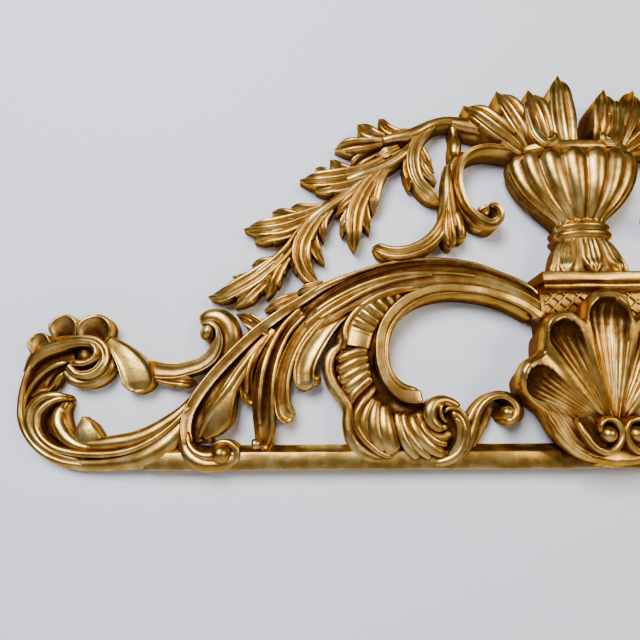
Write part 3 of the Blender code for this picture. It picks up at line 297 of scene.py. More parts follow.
acanthus = {
    "border": line(lipped, [(222, 193.5, 1, 14), (240, 187, 2.5, 17), (262, 177.5, 3, 18),
    (285, 163, 3.5, 19), (308, 148, 4, 20), *even(4.5, 20, (328, 132.5), (346, 115.5), (362, 98.5),
    (376, 81.5)), (387, 65, 4.5, 21), (393.5, 50, 4.5, 22), (394.5, 36, 4.5, 23), (391, 22, 4.5, 24)],
    stain=1.5, tip=1, widen=1.2),
    "channel": line(flatTop, [(280, 155, 5, 10), (305, 139, 6, 9), (330, 118, 7, 8), (350, 100, 9, 8),
    (366, 80, 10, 8), (378, 60, 9, 8), (384, 42, 8, 8), (380, 26, 7, 9)]),
    "first": line(padded, [(312, 132, 3, 20), (326, 117, 4.5, 22), (337, 102, 6, 24), (347, 87, 7.5, 26),
    (355, 73, 9, 27), (360, 60, 12.5, 27), (364, 50, 15, 26), (369, 41, 12.5, 24), (377, 31, 5, 21)]),
    "firstCrest": line(roundTop, [(320, 124, 1.6, 23), (334, 108, 2.6, 26), (346, 91, 3.6, 28),
    (356, 75, 4, 29), (366, 61, 4, 28), (373, 49, 3.4, 26), (378, 38, 2.6, 24), (381, 28, 1.8, 21)]),
    "hook": line(roundTop, [(358, 38.5, 1.4, 18), (366, 37, 1.6, 20), (371.5, 31, 1.8, 21),
    (369, 25, 1.8, 21)]),
    "underside": line(roundTop, [(396, 34, 4, 20), (391, 15, 7, 22), (379, 6.5, 8, 24), (364, 5, 7, 24),
    (352, 8, 7, 22), (346, 16, 5, 20)], start=1, tip=1, dull=0.15),
    "curlRing": line(roundTop, [(369, 21, 1.5, 22), (362, 25, 2.4, 23), (353, 25, 3, 23),
    (345.5, 19, 3.4, 23), (345, 10, 3.4, 22), (350, 3.5, 3, 20)]),
    "neck": line(roundTop, [(391.5, 36, 2, 23), (390, 24, 2.8, 25), (384, 16.5, 3.2, 27), (375, 13, 3.6, 28),
    (365, 13, 5, 28)], start=3, tip=0.5),
    "ball": ball(360, 14.5, 9.5, 30),
    "short": line(scooped, [(312, 133, 2.5, 20), (327, 114, 4.5, 22), (335, 98, 5.5, 23), (338, 83, 6.5, 23),
    (336, 70, 7, 22), (331, 60, 7, 19)], tip=1),
    "shortCrest": line(roundTop, [(316, 131, 1.5, 22), (330, 110, 2, 25), (337, 90, 2.2, 26),
    (336.5, 70, 2, 23)]),
    "second": line(scooped, [(284, 151, 4, 21), (302, 132, 5.5, 23), (314, 110, 7.5, 25), (320, 90, 9, 26),
    (322, 70, 9.8, 26), (321.5, 52, 9.5, 25), (320, 36, 9, 23), (318, 17, 8, 20)], tip=0.8),
    "secondCrest": line(roundTop, [(285, 156, 1.6, 24), (302, 138, 2, 26), (314, 117, 2.2, 28),
    (321, 96, 2.5, 30), (324, 76, 2.8, 30), (325, 58, 2.4, 29), (323, 40, 2, 25)]),
    "secondEdge": line(roundTop, [(280, 149, 1.5, 23), (297, 129, 1.8, 25), (306, 109, 2, 27),
    (311, 88, 2.2, 28), (312.5, 68, 2.2, 28), (312, 50, 2.2, 26), (313, 34, 2.2, 23), (316, 22, 2, 20)]),
    "smallCurl": line(roundTop, [(320, 25, 4, 24), (327, 23.5, 5, 27), (332, 22.5, 4.6, 27)], tip=0.6,
    start=1),
    "third": line(scooped, [(262, 152, 4, 21), (281, 135, 5.5, 23), (293, 115, 6.5, 24), (300, 95, 7.5, 25),
    (303, 77, 8, 25), (303, 62, 7.5, 24), (299.5, 50, 7.5, 23), (293, 45, 5, 20)], tip=1),
    "thirdEdge": line(roundTop, [(262, 146, 1.5, 23), (280, 127, 1.8, 25), (291, 107, 2, 26),
    (296.5, 88, 2.2, 26), (298, 72, 2.2, 26), (297, 61, 2.8, 25), (291, 51, 3.6, 22)]),
    "fourth": line(spooned, [(238, 153, 5, 21), (254, 141, 8, 23), (266, 126, 9.5, 25), (276, 110, 10.5, 26),
    (281.5, 94, 10.5, 26), (281, 74, 10.5, 25)], tip=0.9),
    "innerBall": ball(271.5, 84, 6.5, 23),
}

brokenArch = {
    "body": line(archTop, [(28, 145, 5, 25), (36, 151, 8, 26), (46, 159, 10, 27), (60, 168.5, 12, 28),
    (80, 178.5, 13, 28), (100, 185.5, 14, 28), (120, 189.8, 15, 28), (140, 191, 16, 28),
    (160, 190.5, 16.5, 28), *even(17, 28, (180, 188), (200, 183), (220, 176)), (240, 167, 16, 27),
    (258, 156, 15, 26), (275, 143, 13, 24), (290, 130, 9, 20)], stain=1.5, tip=1.5),
    "upperRidge": line(roundTop, [(108, 187, 1.2, 28), (130, 190.3, 1.6, 29), (155, 191.3, 1.8, 29.5),
    (180, 190.3, 2, 29.5), (200, 186.5, 2, 29.5), (220, 180, 2, 29), (240, 171, 2, 28), (256, 162, 2, 27),
    (272, 151, 1.8, 25)]),
    "lowerRidge": line(roundTop, [(150, 189, 1.2, 28.5), (165, 188, 1.6, 29), (185, 184.5, 1.8, 29),
    (205, 178.5, 2, 29), (225, 169.5, 2, 28.5), (241, 160, 2, 27.5), (256, 151, 2, 26), (268, 143, 1.8, 25)]),
    "lip": line(roundTop, [(24, 143.5, 2, 26), (33, 153, 2.4, 26), (43, 165, 2.4, 24), (52, 174, 2, 21),
    (66, 183, 1.8, 19), *even(1.8, 18, (84, 191), (102, 198.5), (120, 203), (140, 205.5), (160, 205.5),
    (180, 204), (200, 200.5)), (220, 195, 2, 18), (240, 187.5, 2.2, 18), (262, 177.5, 2.4, 17.5),
    (280, 166.5, 2.4, 17)]),
}

openingFrame = {
    "fillet": line(flatTop, [(40, 141, 3.2, 29), (50, 149, 3.2, 30), (62, 157.5, 3.2, 30), (80, 166, 3.2, 31),
    (100, 172, 3.2, 31), (120, 175, 3.2, 32), (140, 175.5, 3.2, 32), (156, 173.5, 3.5, 32),
    (171, 168, 3.8, 33), *even(4, 33, (184, 160), (195, 149), (202.5, 137), (206.5, 124), (207.5, 110),
    (206, 96), (201.5, 83)), (194, 73.5, 4.5, 33), (184, 67.5, 5.3, 33), (175, 66.5, 6, 33),
    (167, 67.5, 6, 32)], tip=0.5),
    "step": line(roundTop, [(54, 144, 3, 24), (66, 153, 3.2, 25), (84, 162, 3.4, 26), (104, 167.5, 3.5, 27),
    (124, 170, 3.5, 27), *even(3.5, 28, (142, 169.5), (158, 166), (172, 160), (184, 151), (193, 140),
    (199, 127), (201.5, 113), (201, 99), (197.5, 88), (190, 79)), (180, 74.2, 3.4, 28), (171, 73.2, 3, 28)]),
}

rocaille = {
    "border": line(roundTop, [(170, 176.5, 2, 27), (190, 174, 2.4, 27), (205, 169, 2.6, 27),
    (218, 162, 2.8, 27), (229, 153, 3, 27), (237, 143, 3, 27), (241.5, 132, 3.2, 27), (241.5, 121, 3.2, 26),
    (245, 112, 3, 23)], tip=1, dull=0.2),
    "shoulder": line(roundTop, [(232, 152, 3, 14), (240, 142, 4, 14), (244, 131, 5.5, 16),
    (245, 119, 6, 17)]),
    # The field is darkened evenly, as painted shade under the frame.
    "field": line(flatTop, [(180, 168, 5, 21), (200, 160, 9, 21), (215, 148, 14, 21), (224, 133, 18, 21),
    (228, 118, 18, 21), (231, 104, 18, 20), (232, 90, 19, 18), (226, 76, 19, 18), (212, 60, 26, 16),
    (200, 45, 36, 15), (192, 30, 42, 14), (185, 16, 34, 13)], dull=0.8),
    "rim": line(roundTop, [(244, 124, 3, 19), (246.5, 117, 3.4, 21), (253, 111, 4, 22),
    *even(4.6, 23, (257.5, 102), (258, 91), (255, 81), (249, 71.5), (243, 63.5)), (239, 55, 4.8, 23),
    (239.5, 43, 4.8, 23), (238, 32, 5, 23), (233, 22, 5.2, 22), (224, 14, 5.2, 22), (213, 10, 5, 21),
    (203, 11, 4.5, 20), *even(4, 19, (194, 12), (184, 9), (172, 6.5), (160, 7)), (148, 9, 4, 20)], widen=1.3,
    dull=0.22),
    "upperFlutes": line(padded, [(184, 170.5, 4, 24), (193, 166, 6, 26), (201, 161, 8, 27),
    (209.5, 153.5, 11, 28), (217.5, 145, 13, 28), *even(13.5, 28, (224, 136), (227.5, 126), (229.5, 116))],
    flutes=(9, 2.8, 64), stain=1.4),
    "fan": line(roundTop, [(250, 101, 3.5, 24), (242, 106, 4.8, 26.5), (232, 110, 5, 27),
    (218, 112, 3.8, 26)], [(250.5, 91, 4.2, 24), (241, 96, 5.4, 27), (231, 101.5, 5, 28),
    (217.5, 106, 3.6, 26)], [(249, 81, 5, 24), (240, 86.5, 6, 27), (230, 92.5, 5.2, 28), (217, 99, 3.6, 26)],
    [(244, 71.5, 5, 23), (237, 77.5, 6.5, 26), (228, 84.5, 6, 27), (216, 92.5, 4, 26)], [(238, 59, 3, 22),
    (234, 69, 5, 24), (226, 77.5, 5.5, 25), (215, 86, 4, 25)], tip=0.8, start=0.8, stain=1),
    "fold": line(roundTop, [(212, 78, 2, 26), (217, 70.5, 2.8, 28), (226, 60.5, 3.4, 30),
    (231.5, 50, 3.6, 30), (232, 40, 3.4, 29), (227, 30, 3.2, 28), (218, 20.5, 3, 27), (208, 13.5, 2.6, 25),
    (198, 11, 2, 23)]),
    "lobes": line(roundTop, [(213, 67, 3, 25), (221, 54, 5.5, 28), (224, 43, 6, 28), (220, 30, 6, 27),
    (212, 19, 4, 24)], [(210, 66, 3, 26), (213.5, 53, 6.5, 30), (214.5, 40, 8, 31), (211, 27, 7.5, 30),
    (205, 15, 5, 26)], [(205, 62, 4, 26), (205, 50, 7.5, 30), (204, 38, 9, 32), (201, 25, 9, 31),
    (195, 13, 7, 27)], [(193, 54, 3.5, 24), (192, 43, 4.4, 27), (189, 31, 5, 28), (182, 18.5, 5, 27),
    (174, 9, 3.8, 24)], [(187, 53, 2.8, 24), (186, 41, 3.4, 28), (181, 29, 3.8, 30), (173, 18, 3.8, 29),
    (163, 9.5, 3, 25)], [(179, 53, 4.5, 24), (177, 41, 5.8, 29), (171, 29, 6.2, 31), (161, 19, 5.8, 30),
    (149, 12.5, 4.2, 26)], [(171, 50, 3, 22), (169.5, 40, 3.8, 26), (164, 30, 4, 28), (155, 24, 3.6, 27),
    (146, 22, 2.8, 24)], tip=0.8, start=1.2, stain=0.9),
}

voluteAndLeaf = {
    "ground": line(flatTop, [(160, 46, 12, 16), (148, 34, 16, 17), (140, 22, 12, 17)], tip=0.6, start=0.6,
    dull=0.6),
    "outerRing": line(roundTop, [(171, 54, 4, 23), (171.5, 44, 6, 25), (167.5, 35, 6.5, 26),
    (159, 29.5, 6, 26), (149.5, 29, 4.5, 25), (142.5, 34, 3, 24)], start=1, tip=1, dull=0.4),
    "crown": line(roundTop, [(147.5, 38, 2.5, 26), (154, 38, 5, 28.5), (160.5, 45.5, 6.2, 30),
    (160.5, 54.5, 6.6, 31), (155.5, 61, 6.2, 30), (147.5, 63, 5.2, 28), (139.5, 60.5, 4.4, 27),
    (132.5, 55.5, 3.4, 26)], start=1, tip=1),
    "crownEdge": line(roundTop, [(145, 42, 1.3, 29), (149.5, 46, 1.5, 31), (151.5, 52, 1.6, 32),
    (150.5, 57.5, 1.6, 32), (146.5, 61.5, 1.4, 30)]),
    "petal": line(roundTop, [(143, 50, 3, 27), (138, 50, 4, 28), (133, 45, 4.6, 28), (130.5, 37, 4.8, 28),
    (130.5, 28, 4.8, 27), (133.5, 19, 4.8, 26), (140.5, 11, 4.8, 25), (152, 6.5, 4.4, 23), (164, 5, 4, 21)],
    start=1),
    "petalEdge": line(roundTop, [(148.5, 51, 1.4, 29), (145.5, 54.5, 1.7, 30), (140, 56, 1.8, 30.5),
    (134, 54.5, 1.8, 30.5), (129.5, 50, 1.8, 30), (127, 44, 1.8, 29), (126.3, 37, 1.8, 28),
    (126.5, 29, 1.8, 27), (129, 21, 1.8, 26), (134, 14, 1.8, 24)]),
    "innerPetal": line(roundTop, [(141, 47, 1.6, 29), (137.5, 46, 2.4, 31), (134.5, 40, 2.8, 31),
    (134, 33, 2.8, 30), (136, 25, 2.8, 29), (140.5, 17.5, 2.6, 27), (147, 12, 2.4, 25)]),
    "eye": ball(149, 38, 3, 27),
    "leaf": line(roundTop, [(140, 8, 3, 22), (130, 17, 4.2, 23), (124, 28, 4.2, 25), (119.5, 40, 3.8, 26),
    (116, 50, 3.2, 27), (110, 59, 3, 28), (101, 65.5, 3, 29), (91, 67, 3, 30), *even(3, 31, (83, 63.5),
    (78.5, 57), (79.5, 49)), (85, 44, 2.8, 31), (92, 45, 2.5, 30)]),
    "leafBack": line(roundTop, [*even(3, 19, (128, 34), (122, 50), (113, 61), (102, 68), (91, 69), (82, 66)),
    (76, 58, 3.2, 19), *even(4, 19, (77, 48), (86, 43), (94, 46))]),
    "leafHollow": line(flatTop, [(127, 20, 5, 14), (119, 34, 6, 14), (112, 46, 6, 14), (106, 56, 5, 14)],
    dull=0.7),
    "knob": ball(88, 51, 7, 33),
}

shellScroll = {
    "spiral": line(beaded, [(36.5, 46, 2.2, 45), (35, 38, 2.6, 48), (32.4, 31, 3, 50), (24.4, 19, 3.2, 51),
    (14.6, 15.5, 3.2, 52), (5, 22, 3, 53), (1.6, 33, 2.8, 54), (6.2, 41.7, 2.6, 55), (14.6, 43.6, 2.4, 55),
    (20, 39.3, 2.2, 55), (21.5, 31.5, 2, 53)], tip=2, start=3),
    "cove": line(coved, [(29, 46, 5, 46), (26.5, 33, 6, 46), (20, 24, 5, 46), (13, 20.5, 4, 46)], stain=1.2,
    dull=0.25),
    "drops": line(roundTop, [(-1, 12, 3, 38), (-1, 5, 3.4, 36), (-1, 0, 3, 33)], [(5, 12, 2.6, 38),
    (6, 5.5, 3, 36), (7, 1, 2.6, 33)], [(11, 11, 2.4, 37), (13, 6, 2.6, 35), (15, 2.5, 2.2, 32)]),
    "voluteGround": line(flatTop, [(26, 33, 14, 42), (-4, 33, 14, 42)], start=0.8, dull=0.5),
    "eye": ball(12.3, 30.5, 7.6, 54),
}

scallop = {
    "hinge": 34,             # squares above the foot of the rail
    "rings": 64, "steps": 520,
    # turn from the axis, distance from the hinge to the lip, relief of the lip
    "lip": [
        (0, 124, 56.5), (4, 122.5, 56.5), (8, 116.5, 56), (11, 105, 54.5), (13.2, 98.5, 53.5),
        (15.5, 102, 54), (19, 109, 56), (23, 112.2, 56.3), (26.3, 112.8, 56.3), (30, 111, 56),
        (34, 105, 54.5), (38, 97, 52), (42, 91.5, 50), (46, 92, 51), (50, 95.5, 53.5), (54, 97.5, 55),
        (58, 97.3, 55), (62, 94.5, 53), (66, 89, 48), (70, 77, 42), (74, 65, 41), (85, 56, 43),
        (98, 50, 44.5), (113, 42.8, 45), (130, 35.6, 45), (152, 28.2, 44), (180, 25.5, 43)],
    # centre of a lobe, half angle, how many fine ribs, how deep
    "lobes": [(0, 10.6, 5, 17), (26.2, 9.6, 5, 16), (57, 11.5, 6, 14)],
    "hingeRelief": 41, "lipWidth": 3.2, "ribCut": 1.3,
    # turn, half width and height of the broad ridges between the lobes
    "ridges": [(41.5, 4.5, 1.5), (13.4, 2, 0.9)],
    # turns between which the plain flank is stepped, how many steps, how high, how far it sinks
    "flank": (66, 150), "flankSteps": 9, "stepHeight": 0.8, "flankSink": 3,
    # how far out beyond the lip, and how far up, as the edge turns over and back to the wall
    "edge": [(0.8, 0.9), (2.2, 0.3), (3.6, -1.4), (4.6, -4), (5, -8), (4.2, -14), (1, -26), (-5, -40)],
}


def scallopRings():
    # Rings round the hinge. Each lobe is a hollow (1 - q^2)^0.6 deep, where q is 1 on its U-shaped edge. The
    # broad ridges between stay up, and beyond the lip the edge turns over and back to the wall.
    turn = np.linspace(-180, 180, scallop["steps"], endpoint=False)[None, :]
    away = np.abs(turn)
    lip = smoothTable(scallop["lip"], away[0])
    outer, lipRelief = lip[:, 0][None, :], lip[:, 1][None, :]
    share = (np.linspace(0.04, 1, scallop["rings"])**0.9)[:, None]
    distance = share * outer
    relief = scallop["hingeRelief"] + (lipRelief - scallop["hingeRelief"]) * share**1.3
    stain = 0 * relief + 0.2
    for centre, half, ribs, deep in scallop["lobes"]:
        end = np.interp(centre, *np.array(scallop["lip"])[:, :2].T) - scallop["lipWidth"]
        across = (away - centre) / half
        width = end * math.sin(math.radians(half))
        beyond = np.clip((distance - (end - width)) / width, 0, 3)
        q = np.hypot(across, beyond)
        cup = np.clip(1 - q**2, 0, 1)**0.6
        comb = 0.5 - 0.5 * np.cos(2 * math.pi * ribs * (across + 1) / 2)
        fade = np.clip(share * 4 - 0.8, 0, 1) * np.clip((0.9 - q) * 6, 0, 1)
        hollow = 1.5 + (deep - 1.5) * np.clip(distance / end, 0, 1)**1.5
        relief = relief - cup * hollow + comb * fade * scallop["ribCut"]
        # Painted shade: each niche darkens toward its outer top, and its fine ribs are painted lighter than
        # the niche.
        paintedNicheShade = np.clip((distance / end - 0.5) / 0.4, 0, 1)
        stain = stain + (q < 1) * (0.15 + 1.15 * paintedNicheShade**1.5) - 0.45 * comb * fade * (q < 1)
    for place, wide, high in scallop["ridges"]:
        relief = relief + high * np.exp(-((away - place) / wide)**2) * np.sin(math.pi * share)
    low, high = scallop["flank"]
    flank = np.clip((away - low) / 6, 0, 1) * np.clip((high - away) / 30, 0, 1)
    wave = np.cos(2 * math.pi * share * scallop["flankSteps"]) * np.clip(share * 3 - 1, 0, 1)
    steps = scallop["stepHeight"] * wave
    relief = relief + flank * (steps - scallop["flankSink"] * (share < 0.93) * share)
    edge, flat = scallop["edge"], 0 * lipRelief
    distance = np.vstack([distance] + [outer + out for out, _ in edge] + [outer - 6])
    relief = np.vstack([relief] + [np.maximum(lipRelief + rise, 2) for _, rise in edge] + [flat])
    # Painted shade: the edge darkens as it turns over and back to the wall, then is painted like a side wall.
    edgeStainAndShade = [flat + (0.02 * -rise if rise > -10 else sideWallShade) for _, rise in edge]
    stain = np.vstack([stain] + edgeStainAndShade + [flat + sideWallShade])
    angle = np.radians(turn)
    up = scallop["hinge"] + distance * np.cos(angle)
    return np.stack([-distance * np.sin(angle), relief, up, stain], axis=2)


urnLeafCut = dict(point=2.4, notch=(3, 0.22), widen=1.15, sink=0.5, dull=0.1)
urnMiddleLeaf = {
    "leaf": line(grooved, [(-3, 322, 9, 36), (-3, 345, 12, 41), (-3, 372, 14, 42), (-3, 400, 12, 40),
    (-3, 424, 8, 36)], **urnLeafCut),
}
urnLeaves = {
    "bed": line(flatTop, [(0, 322, 14, 30), (20, 326, 16, 30), (44, 330, 14, 26)], dull=0.6),
    "leaves": line(grooved, [(42, 326, 7, 30), (55, 343, 11, 35), (72, 361, 13, 37), (89, 376, 12, 35),
    (106, 386, 8, 29)], [(33, 326, 7, 34), (38, 348, 11, 38), (46, 369, 13, 40), (56, 388, 12, 38),
    (68, 404, 8, 33)], [(17, 326, 6, 35), (17, 345, 8, 38), (20, 365, 11, 41), (25, 386, 12, 40),
    (32, 406, 9, 36)], **urnLeafCut),
    "curl": line(ridged, [(37, 392, 3, 41), (33, 366, 5.5, 44), (26, 347, 6.5, 46), (16, 339, 5.5, 47),
    (9, 344, 4, 47), (11, 352, 3, 46)], tip=1.5, start=4),
    "curlHollow": line(scooped, [(22, 344, 5, 38), (21, 358, 6, 40), (26, 376, 5, 40)], tip=1, start=1),
}

handle = {
    "band": line(channelled, [(42, 326, 4, 29), (55, 328.5, 4, 30), (70, 332, 4, 31), (86, 333, 4, 31),
    *even(4.2, 31, (100, 329), (110, 320), (116, 307), (117.5, 294)), (116, 281, 4.2, 30),
    (111.5, 267, 4.2, 30), (104, 256, 4.4, 30), (95, 248, 4.8, 30), (86, 245, 5, 30), (79, 249, 4.6, 30),
    (76.5, 257, 4, 29), (80, 264, 3.6, 28), (88, 266, 3.2, 27)], tip=1, widen=0.9),
    "skirt": line(roundTop, [(106, 329, 5, 20), *even(5.5, 20, (119, 318), (125, 305), (126, 290), (123, 275),
    (117, 262), (109, 251), (99, 243.5)), (89, 241.5, 4.5, 20)]),
    "stem": line(roundTop, [(46, 336, 5, 27), (60, 345, 8, 28), (76, 354, 9, 28), (93, 360, 9.5, 28),
    (108, 363, 8.5, 27), (120, 365, 6, 26)]),
    "knob": line(ridged, [(100, 255, 3.5, 24), (93, 260, 6.5, 29), (86, 261, 5.5, 31)], tip=1, start=1,
    dull=0.2),
    "joint": line(roundTop, [(120, 360, 4, 23), (119, 348, 4, 22), (118, 336, 6.5, 25), (120, 323, 5, 24)],
    tip=0.6, start=0.6, dull=0.45),
    "drop": line(roundTop, [(128, 311, 4, 20), (129, 296, 6, 22), (129, 280, 8, 23), (129, 264, 10, 24),
    (128, 250, 12.5, 24), (127, 236, 12, 23)], tip=0.5),
    "sideLeaf": line(leafy, [(130, 272, 3, 22), (136, 249, 7, 24), (145, 233, 8.2, 25), (160, 220.5, 8.4, 25),
    (178, 214, 8.4, 24), (194, 214, 8.4, 22), (211, 221, 7, 19)], point=1.4, sink=0.4),
    "middleLeaf": line(leafy, [(130, 276, 2.5, 23), (131, 262, 4, 25), (131, 248, 6, 26.5),
    (131, 235, 7.5, 26), (129, 219, 7.5, 22)], point=1.1, sink=0.4),
    "innerLeaf": line(roundTop, [(124, 262, 3, 24), (120, 249, 4.5, 25), (118.5, 239, 4.5, 25),
    (118, 227, 4.5, 22)], tip=0.8),
}

garland = {
    "stems": line(roundTop, [(112, 366, 5, 25), (130, 366.5, 4.5, 25), (145, 362, 5, 25), (158, 355, 6, 26),
    (172, 349, 6, 26), (186, 346, 5, 25), (200, 342, 5, 23)], [(150, 352, 5, 22), (162, 340, 5, 23),
    (174, 328, 5.5, 24), (188, 317, 5.5, 24), (204, 309, 6, 24), (222, 302, 6, 24), (240, 294, 5, 22)],
    [(205, 303, 5, 20), (222, 292, 6, 21), (236, 280, 5.5, 21), (248, 272, 5, 22), (262, 262, 6, 23),
    (276, 250, 6.5, 23), (288, 236, 6, 22)], tip=1),
    "scoops": line(leafy, [(276, 250, 5, 21), (288, 234, 5, 22), (297, 220, 5.5, 23), (308, 207, 6.5, 24),
    (322, 194, 7, 24), (338, 183, 7, 23)], [(168, 351, 5, 23), (181, 351, 6, 23), (192, 357, 6.5, 21),
    (200, 371, 5, 18)], [(196, 345, 6, 22), (206, 349, 8, 22), (214, 355, 9.5, 21), (223, 367, 9, 18)],
    [(198, 341, 5, 22), (214, 339, 7, 22), (230, 338, 8.5, 21), (249, 335, 8, 18)], [(196, 334, 5, 16),
    (210, 326, 7, 16), (222, 320, 8, 15), (233, 310, 8, 13)], [(220, 304, 5, 22), (235, 306, 7, 21),
    (246, 311, 7.5, 20), (254, 322, 6.5, 17)], [(240, 302, 4, 22), (253, 303, 5, 21), (262, 306, 5, 19),
    (270, 311, 4.5, 17)], [(250, 270, 3, 20), (268, 263, 5, 20), (282, 263, 5.5, 19), (296, 266, 5.5, 17)],
    [(272, 254, 4, 21), (290, 254, 6.5, 21), (304, 257, 7, 20), (316, 261, 6.5, 17)], [(298, 216, 3, 20),
    (312, 206, 5, 21), (324, 203, 5.5, 19), (336, 201, 5, 17)], point=2.2, widen=1.25, sink=0.5, dull=0.35),
    "ridges": line(grooved, [(318, 196, 4, 21), (332, 189, 5.5, 21), (343, 187, 5.5, 19), (355, 189, 5, 17)],
    [(180, 333, 4, 23), (192, 328, 5.5, 24), (207, 324, 5, 21)], [(196, 318, 6, 22), (222, 305, 8, 24),
    (248, 299, 9.5, 24), (270, 297, 8.5, 22), (287, 297, 7.5, 18)], [(215, 300, 5, 20), (236, 290, 6, 21),
    (254, 286, 5.5, 20), (270, 284, 4.5, 17)], [(140, 362, 4, 22), (152, 352, 5.5, 24), (160, 339, 6.5, 25),
    (164.5, 324, 7, 25), (164.5, 308, 7, 25), (160, 293, 6.5, 24), (151, 281, 6.5, 22), (139, 268, 5.5, 18)],
    [(170, 322, 4, 20), (172, 308, 4.5, 20), (170, 296, 4.5, 19), (170, 285, 4, 17)], [(158, 334, 4, 21),
    (153, 322, 5, 21), (149, 312, 5, 20), (143, 304, 4.5, 17)], [(158, 316, 4, 20), (152, 304, 4.5, 20),
    (147, 297, 4, 19), (141, 292, 3.5, 17)], [(200, 306, 5, 23), (213, 291, 7, 24), (222, 275, 8.5, 25),
    (228, 258, 9, 25), (230, 238, 8, 23), (230, 217, 6.5, 19)], [(218, 286, 5, 21), (230, 274, 6, 22),
    (239, 266, 5.5, 20), (249, 256, 4.5, 17)], [(226, 268, 5, 21), (236, 254, 5.5, 21), (241, 244, 5, 20),
    (242, 233, 4.5, 17)], [(220, 268, 5, 21), (218, 254, 5, 21), (217, 246, 5, 20), (214, 236, 4.5, 17)],
    [(196, 306, 4, 22), (203, 292, 5, 23), (207, 279, 5.5, 22), (210, 258, 5, 18)], [(262, 262, 5, 22),
    (284, 252, 8, 23), (304, 245, 10, 23), (324, 242, 9, 21), (345, 241, 7.5, 17)], [(280, 246, 5, 20),
    (300, 236, 6.5, 21), (316, 232, 6, 20), (334, 228, 5, 17)], [(255, 262, 4, 20), (262, 250, 4.5, 21),
    (263, 240, 4.5, 20), (262, 227, 4.5, 17)], [(266, 256, 6, 23), (277, 240, 8, 25), (284, 224, 9, 26),
    (285, 208, 9, 25), (280, 194, 8, 22), (267, 181, 6, 18)], [(274, 240, 4, 20), (272, 224, 5.5, 21),
    (268, 213, 5.5, 20), (261, 203, 5, 17)], [(292, 226, 4.5, 20), (294, 213, 5, 20), (292, 203, 4.5, 19),
    (290, 192, 4, 17)], [(312, 204, 6, 24), (332, 188, 8, 25), (350, 177, 8, 24), (364, 169, 7, 21),
    (379, 168, 6.5, 18)], [(318, 188, 5, 21), (330, 176, 6, 22), (340, 166, 6, 21), (352, 157, 5, 18)],
    [(300, 210, 5, 22), (309, 196, 7, 24), (315, 182, 7.5, 24), (320, 166, 7, 21)], [(288, 168, 4, 17),
    (300, 163, 5.5, 18), (311, 158, 6, 17), (322, 153, 6, 14)], [(262, 180, 3, 17), (272, 178, 4, 18),
    (282, 174, 5, 17), (291, 170, 5, 14)], [(318, 132, 5, 18), (328, 138, 7, 18), (338, 144, 7, 17),
    (350, 150, 6, 14)], point=2.6, notch=(3, 0.32), widen=1.25, sink=0.5, dull=0.18),
}


straightWork = {
    "railLength": 860, "railSection": [(0, 0), (20, 0), (20, 16), (11, 22.5), (0, 22.5)],   # depth, up
    "slabLength": 106, "slabSection": [(0, 173.5), (45, 173.5), (45, 183), (0, 183)],
    "bedLength": 98, "bedSection": [(0, 166), (33, 166), (37, 169.5), (37, 174), (0, 174)],
    "panelLength": 100, "panelSection": [(0, 128), (27, 128), (27, 174), (0, 174)],
    "arris": 1.1,           # squares, how far an edge is rubbed round
    "endArris": 0.4,        # squares from the end to the first ring of the front
    "waver": 0.25,          # squares, how uneven the hand left it
}


def moulding(section, length):
    # A closed section carried along X: each corner becomes three points on a small round.
    corner = np.array(section, float)
    before, after = np.roll(corner, 1, axis=0) - corner, np.roll(corner, -1, axis=0) - corner
    before /= np.linalg.norm(before, axis=1)[:, None]
    after /= np.linalg.norm(after, axis=1)[:, None]
    arris = np.where(corner[:, :1] > 0, straightWork["arris"], 0.05)
    rounded = corner + (before + after) * arris * 0.29
    ring = np.stack([corner + before * arris, rounded, corner + after * arris], axis=1)
    ring = ring.reshape(-1, 2)[::-1]
    inner = length / 2 - straightWork["endArris"]
    x = np.linspace(-inner, inner, int(length / 4) + 1)
    x = np.concatenate([[-length / 2], x, [length / 2]])[:, None]
    wave = np.sin(x * 0.11 + ring[:, 1] * 0.3) + np.sin(x * 0.043 + 1.3 + ring[:, 0] * 0.2)
    wave = straightWork["waver"] * wave
    out = np.where(ring[:, 0] > 1, ring[:, 0] + wave - 0.3, ring[:, 0])
    # The ends are painted brown as shade; the rest carries a slight even darkening.
    stain = np.where(np.abs(x) > inner + 0.1, sideWallShade, 0.1) + 0 * out
    return np.stack([x + 0 * out, out, ring[:, 1] + 0 * out, stain], axis=2)


